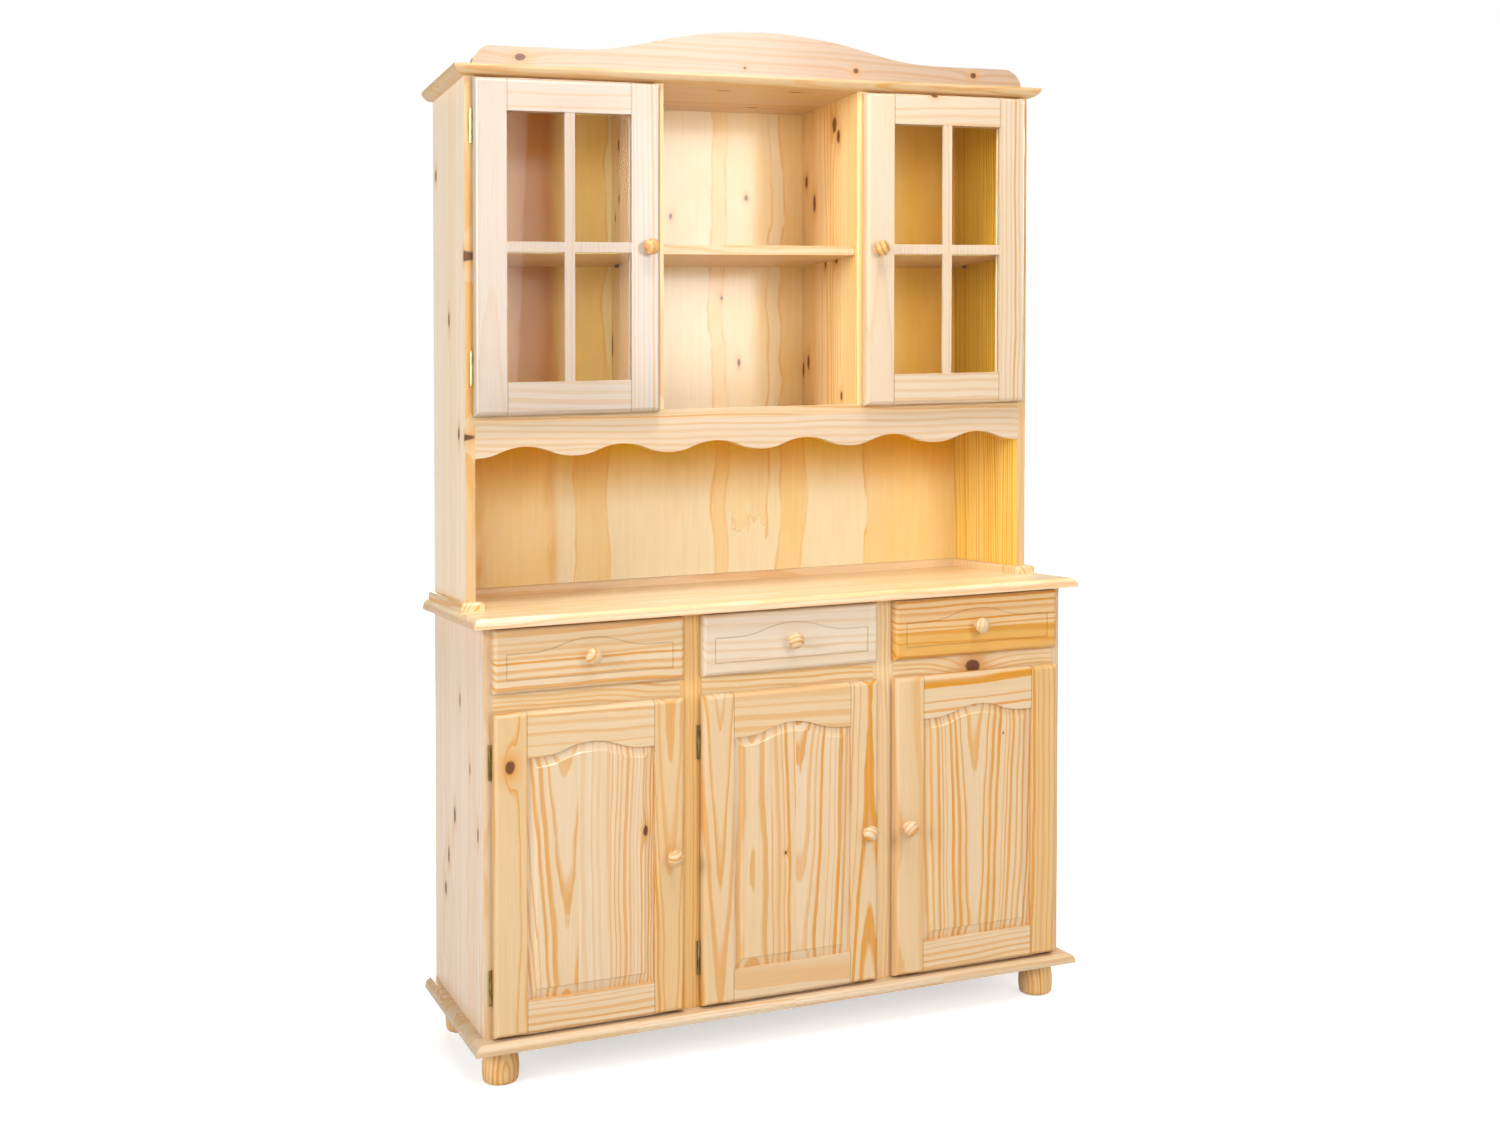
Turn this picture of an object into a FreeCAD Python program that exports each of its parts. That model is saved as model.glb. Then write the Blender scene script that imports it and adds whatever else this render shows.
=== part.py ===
import FreeCAD, Part
import os
from math import asin, cos, sin, sqrt
from FreeCAD import Vector

# A pine welsh dresser: a base cabinet with three drawers over three panelled doors, and a
# shallower upper cabinet, the hutch, with two glazed doors beside an open bay.
# Millimetres, +Z up, front towards -Y, origin on the floor under the middle of the whole piece.

# Cabinet sizes
carcass_width = 1166.0          # over the outer faces of the sides, base and hutch alike
base_depth = 392.0              # front edge of the base sides to the back
hutch_depth = 264.0
hutch_side_height = 951.0
side_thickness = 18.0
partition_thickness = 18.0
shelf_thickness = 18.0
back_thickness = 4.0            # plywood
back_rebate = 8.0               # how far a back panel lies in the rebates of the sides

# Clearances
overrun = 30.0                  # reach of every cutting solid past what it cuts
fit = 0.05                      # radial clearance of tenons, pegs and pins in their holes
front_clearance = 4.0           # doors and drawer fronts to the boards above or below them

# Feet
foot_height = 66.0
foot_top_radius = 31.7
foot_waist_radius = 30.8
foot_belly_radius = 33.4
foot_rim_radius = 32.0          # just over the rounded edge of the sole
foot_edge_radius = 8.0
foot_inset = 57.0               # foot axis from the ends and front edge of the plinth board
back_foot_inset = 78.0          # axis of a back foot from the back
foot_tenon_radius = 9.0
foot_tenon_length = 13.0
foot_waist_height_share = 0.80
foot_bend_height_share = 0.64
foot_belly_height_share = 0.36

# Plinth board, worktop and cornice board, with their rounded edges
plinth_thickness = 18.0
plinth_side_reach = 22.0
plinth_front_reach = 35.0
plinth_nose_inset = 11.0
plinth_nose_drop = 14.0
worktop_thickness = 18.0
worktop_side_reach = 23.5
worktop_front_reach = 34.0
worktop_nose_inset = 9.0
worktop_nose_drop = 15.0
cornice_thickness = 18.0
cornice_side_reach = 22.0
cornice_front_reach = 21.0
cornice_nose_inset = 20.0
cornice_nose_drop = 13.5

# Face frame of the base: posts between the bays, rails under the drawers
post_width = 43.0
post_thickness = 18.0
rail_height = 41.0
rail_thickness = 18.0

# Drawer runners and shelf battens inside the base
runner_height = 20.0
runner_guide_height = 14.0
guide_clearance = 1.0
batten_size = 20.0
base_shelf_setback = 30.0       # front edge of the base shelves from the cabinet's front
base_shelf_height_share = 0.50  # underside of the shelves within the door opening

# Hutch
strip_height = 16.0             # foot strips on the worktop
strip_reach = 12.0              # past both faces of a side
strip_front_reach = 18.0
back_strip_width = 21.0
strip_nose = 6.0
open_height = 322.0             # top of the foot strips to the underside of the bottom board
bottom_board_thickness = 18.0
open_bay_width = 404.0
hutch_shelf_setback = 10.0
shelf_play = 0.5
peg_radius = 3.0
peg_length = 16.0
peg_hole_depth = 8.0
peg_edge_distance = 45.0
shelf_housing_depth = 6.0       # of the grooves in the partitions for the open bay's shelf
apron_height = 63.0
apron_thickness = 18.0
apron_wave_rise = 19.5
apron_wave_count = 6
wave_crown_share = 0.5
crest_inset = 14.0              # ends of the crest from the outer faces of the sides
crest_thickness = 18.0
crest_height = 86.0
crest_shoulder_height = 38.0
crest_swell_half_span = 378.0
crest_crown_share = 0.62

# Doors and drawer fronts
front_overlay = 4.0             # past the edges of the opening
front_edge_inset = 7.5          # rounded edges: on the face, where the round starts with a crisp line
front_edge_drop = 10.5          # and on the edge
door_thickness = 18.0
door_height = 572.0
door_stile_width = 59.0
door_rail_height = 61.0
door_top_rail_height = 82.0     # at its ends, where the arch springs
door_arch_rise = 20.0
door_arch_span_share = 0.97
arch_crown_share = 0.5
panel_groove_depth = 8.0
panel_groove_width = 6.0
panel_play = 0.6
field_margin = 17.0
field_setback = 0.8             # field of the panel behind the face of the frame
field_step = 1.8
field_step_run = 2.0            # of the step's slope, seen from the front

# Glazed doors
glazed_rail_height = 60.0
glass_thickness = 4.0
glass_groove_depth = 8.0
glass_play = 1.0
bar_width = 19.0
bar_setback = 1.0

# Drawers
drawer_front_height = 114.0
drawer_thickness = 18.0
drawer_gap = 0.5                # drawer front to the face frame
drawer_box_play = 4.0           # box to the edges of the opening
drawer_lift = 0.4               # running gap over the runners
drawer_side_thickness = 12.0
drawer_headroom = 33.6          # over the drawer sides, under the worktop
drawer_back_drop = 8.0
drawer_box_depth = 340.0
drawer_bottom_thickness = 4.0
drawer_bottom_inset = 6.0       # edge of the bottom in its grooves
drawer_bottom_lift = 8.0
line_inset = 22.5               # routed line from the ends and lower edge of the front
line_top_inset = 23.0           # crown of the line from the upper edge
line_rise = 20.0
line_span_share = 0.72
line_width = 2.4
line_depth = 0.9

# Turned knobs
knob_projection = 28.0
knob_radius = 15.0
knob_base_radius = 9.0
knob_neck_radius = 7.0
knob_tenon_radius = 4.0
knob_tenon_length = 11.0
knob_edge_distance = 25.0       # axis of a door knob from the free edge
knob_rim_radius = 6.0           # of the rounding round the head
knob_neck_out_share = 0.24
knob_shoulder_out_share = 0.42
knob_rim_out_share = 0.62

# Butt hinges
hinge_length = 62.0
hinge_end_distance = 87.0       # middle of a hinge from the end of its door
knuckle_radius = 3.0
knuckle_clearance = 0.4
knuckle_gap = 0.3
pin_radius = 1.5
leaf_thickness = 1.5
moving_leaf_width = 18.0

# Levels
plinth_z = foot_height
base_z = plinth_z + plinth_thickness
door_z = base_z + front_clearance
rail_z = door_z + door_height - front_overlay
rail_top_z = rail_z + rail_height
drawer_z = rail_top_z - front_overlay
worktop_z = drawer_z + drawer_front_height + front_clearance
strip_z = worktop_z + worktop_thickness
hutch_z = strip_z + strip_height
cornice_z = hutch_z + hutch_side_height
crest_z = cornice_z + cornice_thickness
bottom_board_z = hutch_z + open_height
hutch_floor_z = bottom_board_z + bottom_board_thickness
glazed_door_z = hutch_floor_z - front_overlay
glazed_door_height = cornice_z - front_clearance - glazed_door_z
hutch_shelf_z = glazed_door_z + glazed_door_height / 2 - shelf_thickness / 2
base_shelf_z = base_z + (rail_z - base_z) * base_shelf_height_share

# Planes from front to back
hinge_reach = knuckle_radius + knuckle_clearance   # axis from the cabinet front and the door edge
front_reach = hinge_reach + door_thickness + knob_projection
base_front = front_reach - (front_reach + base_depth) / 2
back = base_front + base_depth
back_panel_front = back - back_thickness
hutch_front = back - hutch_depth

# Places from left to right
outer = carcass_width / 2
inner = outer - side_thickness
bay_width = (inner - post_width) * 2 / 3
bay_pitch = bay_width + post_width
post_x = bay_pitch / 2
hutch_bay_inner = open_bay_width / 2 + partition_thickness
front_width = bay_width + front_overlay + front_overlay
bay_centres = {"left": -bay_pitch, "middle": 0.0, "right": bay_pitch}
hinge_sides = {"left": 1, "middle": 1, "right": -1}   # +1 where the door hangs at its left edge

os.makedirs("parts", exist_ok=True)


def save(node, *solids):
    shape = solids[0] if len(solids) == 1 else Part.makeCompound(list(solids))
    shape.exportStep("parts/" + node + ".step")


def box(xs, ys, zs):
    """Box between two values, in either order, along each axis."""
    lows = Vector(min(xs), min(ys), min(zs))
    highs = Vector(max(xs), max(ys), max(zs))
    size = highs - lows
    return Part.makeBox(size.x, size.y, size.z, lows)


def outline(start, *steps):
    """Wire of straight steps (a point) and arcs (a point on the way and an end point)."""
    edges = []
    here = start
    for step in steps:
        if isinstance(step, tuple):
            through, end = step
            edges.append(Part.Arc(here, through, end).toShape())
        else:
            end = step
            edges.append(Part.LineSegment(here, end).toShape())
        here = end
    return Part.Wire(edges)


def prism(wire, along):
    return Part.Face(wire).extrude(along)


def edge_cutter(corner, along, inward, into, inset, drop):
    """Solid outside a rounded board edge: inset is measured on the face and drop on the edge.

    The arc between them is square to the shorter of the two and runs smoothly into the other.
    """
    if inset > drop:
        radius = (inset ** 2 + drop ** 2) / (2 * drop)
        half_turn = asin(inset / radius) / 2
        through = (inset - radius * sin(half_turn), radius - radius * cos(half_turn))
    else:
        radius = (inset ** 2 + drop ** 2) / (2 * inset)
        half_turn = asin(drop / radius) / 2
        through = (radius - radius * cos(half_turn), drop - radius * sin(half_turn))

    def at(from_edge, from_face):
        return corner + inward * from_edge + into * from_face

    wire = outline(at(inset, 0), (at(*through), at(0, drop)), at(-overrun, drop),
                   at(-overrun, -overrun), at(inset, -overrun), at(inset, 0))
    return prism(wire, along)


def moulded_slab(xs, ys, zs, inset, drop, underside=False, right=True, left=True):
    """Flat board with a rounded edge along its front and its ends, on the top or the underside."""
    x0, x1 = xs
    y0, y1 = ys
    z0, z1 = zs
    face_z = z0 if underside else z1
    into = Vector(0, 0, 1) if underside else Vector(0, 0, -1)
    across = Vector(x1 - x0 + overrun + overrun, 0, 0)
    backwards = Vector(0, y1 - y0 + overrun + overrun, 0)
    edges = [(Vector(x0 - overrun, y0, face_z), across, Vector(0, 1, 0))]
    if left:
        edges.append((Vector(x0, y0 - overrun, face_z), backwards, Vector(1, 0, 0)))
    if right:
        edges.append((Vector(x1, y0 - overrun, face_z), backwards, Vector(-1, 0, 0)))
    slab = box(xs, ys, zs)
    for corner, along, inward in edges:
        slab = slab.cut(edge_cutter(corner, along, inward, into, inset, drop))
    return slab


def moulded_front(width, height, thickness):
    """Upright board from the origin to +X and +Z, its back at y = 0, with a round-over on its face."""
    face_y = -thickness
    into = Vector(0, 1, 0)
    across = Vector(width + overrun + overrun, 0, 0)
    upwards = Vector(0, 0, height + overrun + overrun)
    board = box((0, width), (face_y, 0), (0, height))
    for corner, along, inward in (
            (Vector(-overrun, face_y, 0), across, Vector(0, 0, 1)),
            (Vector(-overrun, face_y, height), across, Vector(0, 0, -1)),
            (Vector(0, face_y, -overrun), upwards, Vector(1, 0, 0)),
            (Vector(width, face_y, -overrun), upwards, Vector(-1, 0, 0))):
        board = board.cut(edge_cutter(corner, along, inward, into, front_edge_inset, front_edge_drop))
    return board


def swell(centre_x, foot_z, half_span, rise, crown_share, y):
    """Arc steps from the right foot of a hump, over its crown, to its left foot.

    Each flank is a hollow arc running into the round arc of the crown, level at the foot and the
    crown. The two radii share out the one length for which both arcs turn by the same angle.
    """
    both_radii = (half_span ** 2 + rise ** 2) / (2 * rise)
    turn = asin(half_span / both_radii)
    crown_radius = both_radii * crown_share
    foot_radius = both_radii - crown_radius
    bend = (crown_radius * sin(turn), foot_z + rise - crown_radius * (1 - cos(turn)))
    hollow = (half_span - foot_radius * sin(turn / 2), foot_z + foot_radius * (1 - cos(turn / 2)))

    def at(x, z):
        return Vector(centre_x + x, y, z)

    return [(at(*hollow), at(*bend)),
            (at(0, foot_z + rise), at(-bend[0], bend[1])),
            (at(-hollow[0], hollow[1]), at(-half_span, foot_z))]


def arched_outline(xs, bottom, spring, rise, half_span, y, grow=0.0):
    """Upright rectangle whose top edge swells up in the middle, grown on every side by grow."""
    x0 = xs[0] - grow
    x1 = xs[1] + grow
    z0 = bottom - grow
    z1 = spring + grow
    middle = (x0 + x1) / 2

    def at(x, z):
        return Vector(x, y, z)

    return outline(at(x0, z0), at(x1, z0), at(x1, z1), at(middle + half_span, z1),
                   *swell(middle, z1, half_span, rise, arch_crown_share, y),
                   at(x0, z1), at(x0, z0))


# Turned pieces

def turned_foot(x, y):
    """Bun foot on the floor: a rounded sole, a low belly, a waist, and a tenon above."""
    def at(radius, z):
        return Vector(x + radius, y, z)

    bend_radius = (foot_waist_radius + foot_belly_radius) / 2
    tenon_top = foot_height + foot_tenon_length
    sole_radius = foot_rim_radius - foot_edge_radius
    edge_middle = foot_edge_radius * sqrt(0.5)
    wire = outline(at(0, 0), at(sole_radius, 0),
                   (at(sole_radius + edge_middle, foot_edge_radius - edge_middle),
                    at(foot_rim_radius, foot_edge_radius)),
                   (at(foot_belly_radius, foot_height * foot_belly_height_share),
                    at(bend_radius, foot_height * foot_bend_height_share)),
                   (at(foot_waist_radius, foot_height * foot_waist_height_share),
                    at(foot_top_radius, foot_height)),
                   at(foot_tenon_radius, foot_height), at(foot_tenon_radius, tenon_top),
                   at(0, tenon_top), at(0, 0))
    return Part.Face(wire).revolve(Vector(x, y, 0), Vector(0, 0, 1), 360)


def turned_knob(x, face_y, z):
    """Ball knob on a face at face_y: a hollow neck under a round rim that runs smoothly into a dome."""
    rim_x = knob_radius - knob_rim_radius
    rim_out = knob_projection * knob_rim_out_share
    shoulder_out = knob_projection * knob_shoulder_out_share
    shoulder_x = rim_x + sqrt(knob_rim_radius ** 2 - (rim_out - shoulder_out) ** 2)

    # The dome is part of a ball on the axis, as large as it takes to touch the rim's circle
    rise = knob_projection - rim_out
    dome_radius = (rim_x ** 2 + rise ** 2 - knob_rim_radius ** 2) / (2 * (rise - knob_rim_radius))
    turn = asin(rim_x / (dome_radius - knob_rim_radius))
    dome_out = knob_projection - dome_radius

    def at(radius, out):
        return Vector(x + radius, face_y - out, z)

    wire = outline(at(0, -knob_tenon_length), at(knob_tenon_radius, -knob_tenon_length),
                   at(knob_tenon_radius, 0), at(knob_base_radius, 0),
                   (at(knob_neck_radius, knob_projection * knob_neck_out_share),
                    at(shoulder_x, shoulder_out)),
                   (at(knob_radius, rim_out),
                    at(dome_radius * sin(turn), dome_out + dome_radius * cos(turn))),
                   (at(dome_radius * sin(turn / 2), dome_out + dome_radius * cos(turn / 2)),
                    at(0, knob_projection)),
                   at(0, -knob_tenon_length))
    return Part.Face(wire).revolve(Vector(x, face_y, z), Vector(0, 1, 0), 360)


def knob_hole(x, face_y, z):
    return Part.makeCylinder(knob_tenon_radius + fit, knob_tenon_length + overrun,
                             Vector(x, face_y - overrun, z), Vector(0, 1, 0))


# Plinth board on its four feet

plinth_x = outer + plinth_side_reach
plinth_y = base_front - plinth_front_reach
foot_places = [(side * (plinth_x - foot_inset), y)
               for side in (-1, 1) for y in (plinth_y + foot_inset, back - back_foot_inset)]
plinth = moulded_slab((-plinth_x, plinth_x), (plinth_y, back), (plinth_z, base_z),
                      plinth_nose_inset, plinth_nose_drop)
for x, y in foot_places:
    tenon_hole = Part.makeCylinder(foot_tenon_radius + fit, foot_tenon_length, Vector(x, y, plinth_z))
    plinth = plinth.cut(tenon_hole)
save("plinth_board", plinth)
save("bun_feet", *[turned_foot(x, y) for x, y in foot_places])


# Base cabinet: sides and back

def rebated_side(side, front, z0, z1):
    """Upright side board with a rebate for the back panel along its inner back corner."""
    board = box((side * inner, side * outer), (front, back), (z0, z1))
    rebate = box((side * (inner - overrun), side * (inner + back_rebate)),
                 (back_panel_front, back + overrun), (z0 - overrun, z1 + overrun))
    return board.cut(rebate)


def back_panel(z0, z1):
    return box((-inner - back_rebate, inner + back_rebate), (back_panel_front, back), (z0, z1))


save("base_sides", *[rebated_side(side, base_front, base_z, worktop_z) for side in (-1, 1)])
save("base_back_panel", back_panel(base_z, worktop_z))

# Posts with a partition behind each, and the drawer rails between them

post_back = base_front + post_thickness
rail_back = base_front + rail_thickness
partition_front = max(post_back, rail_back)
partition_half = partition_thickness / 2
save("front_posts", *[box((side * post_x - post_width / 2, side * post_x + post_width / 2),
                          (base_front, post_back), (base_z, worktop_z)) for side in (-1, 1)])
save("base_partitions", *[box((side * post_x - partition_half, side * post_x + partition_half),
                              (post_back, back_panel_front), (base_z, worktop_z)) for side in (-1, 1)])
save("drawer_rails", *[box((x - bay_width / 2, x + bay_width / 2), (base_front, rail_back),
                           (rail_z, rail_top_z)) for x in bay_centres.values()])

# Inside the base: the walls of each bay carry its drawer runners, and battens for its shelf

bay_walls = {"left": (-inner, -post_x - partition_half),
             "middle": (-post_x + partition_half, post_x - partition_half),
             "right": (post_x + partition_half, inner)}
drawer_box_half = bay_width / 2 - drawer_box_play


def drawer_runner(wall_x, box_side_x, inwards):
    """L-shaped strip along a wall: a ledge under the drawer side and a guide beside it."""
    ledge_x = box_side_x + inwards * drawer_side_thickness
    guide_x = box_side_x - inwards * guide_clearance
    ledge_z = rail_top_z - runner_height
    guide_z = rail_top_z + runner_guide_height

    def at(x, z):
        return Vector(x, partition_front, z)

    wire = outline(at(wall_x, ledge_z), at(ledge_x, ledge_z), at(ledge_x, rail_top_z),
                   at(guide_x, rail_top_z), at(guide_x, guide_z), at(wall_x, guide_z), at(wall_x, ledge_z))
    return prism(wire, Vector(0, back_panel_front - partition_front, 0))


runners = []
battens = []
shelves = []
for bay, (wall_left, wall_right) in bay_walls.items():
    centre = bay_centres[bay]
    shelf_y = (base_front + base_shelf_setback, back_panel_front)
    batten_z = (base_shelf_z - batten_size, base_shelf_z)
    runners.append(drawer_runner(wall_left, centre - drawer_box_half, 1))
    runners.append(drawer_runner(wall_right, centre + drawer_box_half, -1))
    battens.append(box((wall_left, wall_left + batten_size), shelf_y, batten_z))
    battens.append(box((wall_right - batten_size, wall_right), shelf_y, batten_z))
    shelves.append(box((wall_left + shelf_play, wall_right - shelf_play), shelf_y,
                       (base_shelf_z, base_shelf_z + shelf_thickness)))
save("drawer_runners", *runners)
save("base_shelf_battens", *battens)
save("base_shelves", *shelves)

# Worktop

worktop_x = outer + worktop_side_reach
save("worktop", moulded_slab((-worktop_x, worktop_x), (base_front - worktop_front_reach, back),
                             (worktop_z, strip_z), worktop_nose_inset, worktop_nose_drop))

# Hutch: foot strips on the worktop, then sides, bottom board and back

strip_inner = inner - strip_reach
strip_outer = outer + strip_reach
strip_ys = (hutch_front - strip_front_reach, back)
strip_zs = (strip_z, hutch_z)
strips = [moulded_slab(xs, strip_ys, strip_zs, strip_nose, strip_nose)
          for xs in ((-strip_outer, -strip_inner), (strip_inner, strip_outer))]
strips.append(moulded_slab((-strip_inner, strip_inner), (back - back_strip_width, back), strip_zs,
                           strip_nose, strip_nose, right=False, left=False))
save("hutch_foot_strips", *strips)

hutch_shelf_front = hutch_front + hutch_shelf_setback
peg_places = [(y, hutch_shelf_z - peg_radius)
              for y in (hutch_shelf_front + peg_edge_distance, back_panel_front - peg_edge_distance)]


def peg_along_x(wall_x, inwards, radius, length, y, z):
    """Cylinder that starts as deep in a wall as a peg hole is and runs out into the bay."""
    start = Vector(wall_x - inwards * peg_hole_depth, y, z)
    return Part.makeCylinder(radius, length, start, Vector(inwards, 0, 0))


peg_walls = [(-inner, 1), (-hutch_bay_inner, -1), (hutch_bay_inner, 1), (inner, -1)]
peg_holes = Part.makeCompound([peg_along_x(x, way, peg_radius + fit, peg_length, y, z)
                               for x, way in peg_walls for y, z in peg_places])
hutch_ys = (hutch_front, back_panel_front)
hutch_shelf_ys = (hutch_shelf_front, back_panel_front)
housing_half = open_bay_width / 2 + shelf_housing_depth
housing = box((-housing_half, housing_half), hutch_shelf_ys,
              (hutch_shelf_z, hutch_shelf_z + shelf_thickness + fit))
save("hutch_sides", *[rebated_side(side, hutch_front, hutch_z, cornice_z).cut(peg_holes)
                      for side in (-1, 1)])
save("hutch_partitions", *[box((side * open_bay_width / 2, side * hutch_bay_inner), hutch_ys,
                               (hutch_floor_z, cornice_z)).cut([peg_holes, housing]) for side in (-1, 1)])
save("hutch_bottom_board", box((-inner, inner), hutch_ys, (bottom_board_z, hutch_floor_z)))
save("hutch_back_panel", back_panel(hutch_z, cornice_z))
save("shelf_pegs", *[peg_along_x(x, way, peg_radius, peg_length, y, z)
                     for x, way in peg_walls for y, z in peg_places])

# The open bay's shelf lies in grooves of the partitions, the others lie loose on pegs
shelf_spans = [(-inner, -hutch_bay_inner), (-housing_half, housing_half), (hutch_bay_inner, inner)]
save("hutch_shelves", *[box((x0 + shelf_play, x1 - shelf_play), hutch_shelf_ys,
                            (hutch_shelf_z, hutch_shelf_z + shelf_thickness)) for x0, x1 in shelf_spans])

# Scalloped apron under the bottom board, its waves counted from one side to the other

wave_half = inner / apron_wave_count
apron_low = bottom_board_z - apron_height
waves = []
for number in range(apron_wave_count):
    wave_x = inner - wave_half - wave_half * 2 * number
    waves += swell(wave_x, apron_low, wave_half, apron_wave_rise, wave_crown_share, hutch_front)
apron_corner = Vector(-inner, hutch_front, bottom_board_z)
apron_outline = outline(apron_corner, Vector(inner, hutch_front, bottom_board_z),
                        Vector(inner, hutch_front, apron_low), *waves, apron_corner)
save("scalloped_apron", prism(apron_outline, Vector(0, apron_thickness, 0)))

# Cornice board with its undercut edge, and the crest board standing on it

cornice_x = outer + cornice_side_reach
save("cornice_board", moulded_slab((-cornice_x, cornice_x), (hutch_front - cornice_front_reach, back),
                                   (cornice_z, crest_z), cornice_nose_inset, cornice_nose_drop,
                                   underside=True))


def crest_board():
    """Board with a quarter-round at each end and a swell in the middle of its top edge."""
    end_x = outer - crest_inset
    radius = crest_shoulder_height
    diagonal = radius * (1 - sqrt(0.5))
    shoulder_z = crest_z + crest_shoulder_height

    def at(x, z):
        return Vector(x, hutch_front, z)

    wire = outline(at(-end_x, crest_z), at(end_x, crest_z),
                   (at(end_x - diagonal, shoulder_z - diagonal), at(end_x - radius, shoulder_z)),
                   at(crest_swell_half_span, shoulder_z),
                   *swell(0, shoulder_z, crest_swell_half_span, crest_height - crest_shoulder_height,
                          crest_crown_share, hutch_front),
                   at(-end_x + radius, shoulder_z),
                   (at(-end_x + diagonal, shoulder_z - diagonal), at(-end_x, crest_z)))
    return prism(wire, Vector(0, crest_thickness, 0))


save("crest_board", crest_board())


# Hinges: each door turns on two. The fixed leaf lies on the front edge of the cabinet, under the
# door, from the pin to the edge of the opening, so only the knuckles show when the door is shut.

class Hinge:
    """Butt hinge of three knuckles at the edge of a door, which lies on its +X or -X side."""

    def __init__(self, edge_x, side, cabinet_y, middle_z):
        self.axis_x = edge_x - side * hinge_reach
        self.axis_y = cabinet_y - hinge_reach
        self.edge_x = edge_x
        self.side = side
        self.cabinet_y = cabinet_y
        self.low_z = middle_z - hinge_length / 2
        self.high_z = middle_z + hinge_length / 2
        knuckle_length = (hinge_length - knuckle_gap - knuckle_gap) / 3
        self.lower = (self.low_z, self.low_z + knuckle_length)
        self.middle = (self.lower[1] + knuckle_gap, self.lower[1] + knuckle_gap + knuckle_length)
        self.upper = (self.high_z - knuckle_length, self.high_z)

    def cylinder(self, radius, zs):
        return Part.makeCylinder(radius, zs[1] - zs[0], Vector(self.axis_x, self.axis_y, zs[0]))

    def room(self, zs):
        """Space that the leaf of one half leaves round the knuckle of the other half."""
        return box((self.axis_x - hinge_reach, self.axis_x + hinge_reach),
                   (self.axis_y - hinge_reach, self.axis_y + hinge_reach + overrun), zs)

    def fixed_leaf(self):
        opening_x = self.edge_x + self.side * front_overlay
        leaf = box((self.axis_x, opening_x), (self.cabinet_y - leaf_thickness, self.cabinet_y),
                   (self.low_z, self.high_z))
        leaf = leaf.cut(self.room((self.lower[1], self.upper[0])))
        leaf = leaf.fuse([self.cylinder(knuckle_radius, zs) for zs in (self.lower, self.upper)])
        return leaf.cut(self.cylinder(pin_radius + fit, (self.low_z, self.high_z))).removeSplitter()

    def moving_leaf(self):
        leaf = box((self.axis_x, self.edge_x + self.side * moving_leaf_width),
                   (self.axis_y, self.axis_y + leaf_thickness), (self.low_z, self.high_z))
        leaf = leaf.cut(self.room((self.low_z, self.middle[0])))
        leaf = leaf.cut(self.room((self.middle[1], self.high_z)))
        leaf = leaf.fuse(self.cylinder(knuckle_radius, self.middle))
        return leaf.cut(self.cylinder(pin_radius + fit, self.middle)).removeSplitter()

    def pin(self):
        return self.cylinder(pin_radius, (self.low_z, self.high_z))


all_hinges = []


def hang_door(name, left_x, side, cabinet_y, door_low_z, height):
    """Two hinges near the ends of a door; the leaves that move with it are saved under its name."""
    edge_x = left_x if side > 0 else left_x + front_width
    hinges = [Hinge(edge_x, side, cabinet_y, z)
              for z in (door_low_z + hinge_end_distance, door_low_z + height - hinge_end_distance)]
    save(name + "_hinge_leaves", *[hinge.moving_leaf() for hinge in hinges])
    all_hinges.extend(hinges)


def knob_on_door(name, left_x, side, door_back_y, middle_z):
    """Knob at half height near the edge of a door that is away from its hinges."""
    from_left = front_width - knob_edge_distance if side > 0 else knob_edge_distance
    save(name + "_knob", turned_knob(left_x + from_left, door_back_y - door_thickness, middle_z))
    return from_left


def framed_door(height, low_rail, top_rail, groove_width, groove_depth, sight_wire):
    """Stiles and rails of a door at the origin, grooved all round the opening of sight_wire(y, grow).

    The rails reach into the grooves of the stiles with tenons as thick and deep as the grooves.
    """
    width = front_width
    blank = moulded_front(width, height, door_thickness)
    groove_y = (-door_thickness / 2 - groove_width / 2, -door_thickness / 2 + groove_width / 2)
    through = Vector(0, door_thickness + overrun + overrun, 0)
    opening = prism(sight_wire(-door_thickness - overrun, 0), through)
    groove = prism(sight_wire(groove_y[0], groove_depth), Vector(0, groove_width, 0))
    full_height = (-overrun, height + overrun)
    left_sight = door_stile_width
    right_sight = width - door_stile_width
    tenon_xs = (left_sight - groove_depth, right_sight + groove_depth)
    stile_groove = box(tenon_xs, groove_y, full_height)
    stiles = [blank.common(box(xs, (-door_thickness, 0), full_height)).cut(stile_groove)
              for xs in ((0, left_sight), (right_sight, width))]
    rails = []
    for zs in ((0, low_rail), (height - top_rail, height)):
        rail = blank.common(box((left_sight, right_sight), (-door_thickness, 0), zs))
        rail = rail.fuse(box(tenon_xs, groove_y, zs)).removeSplitter()
        rails.append(rail.cut(opening).cut(groove))
    return stiles, rails


# Panelled doors of the base

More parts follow.
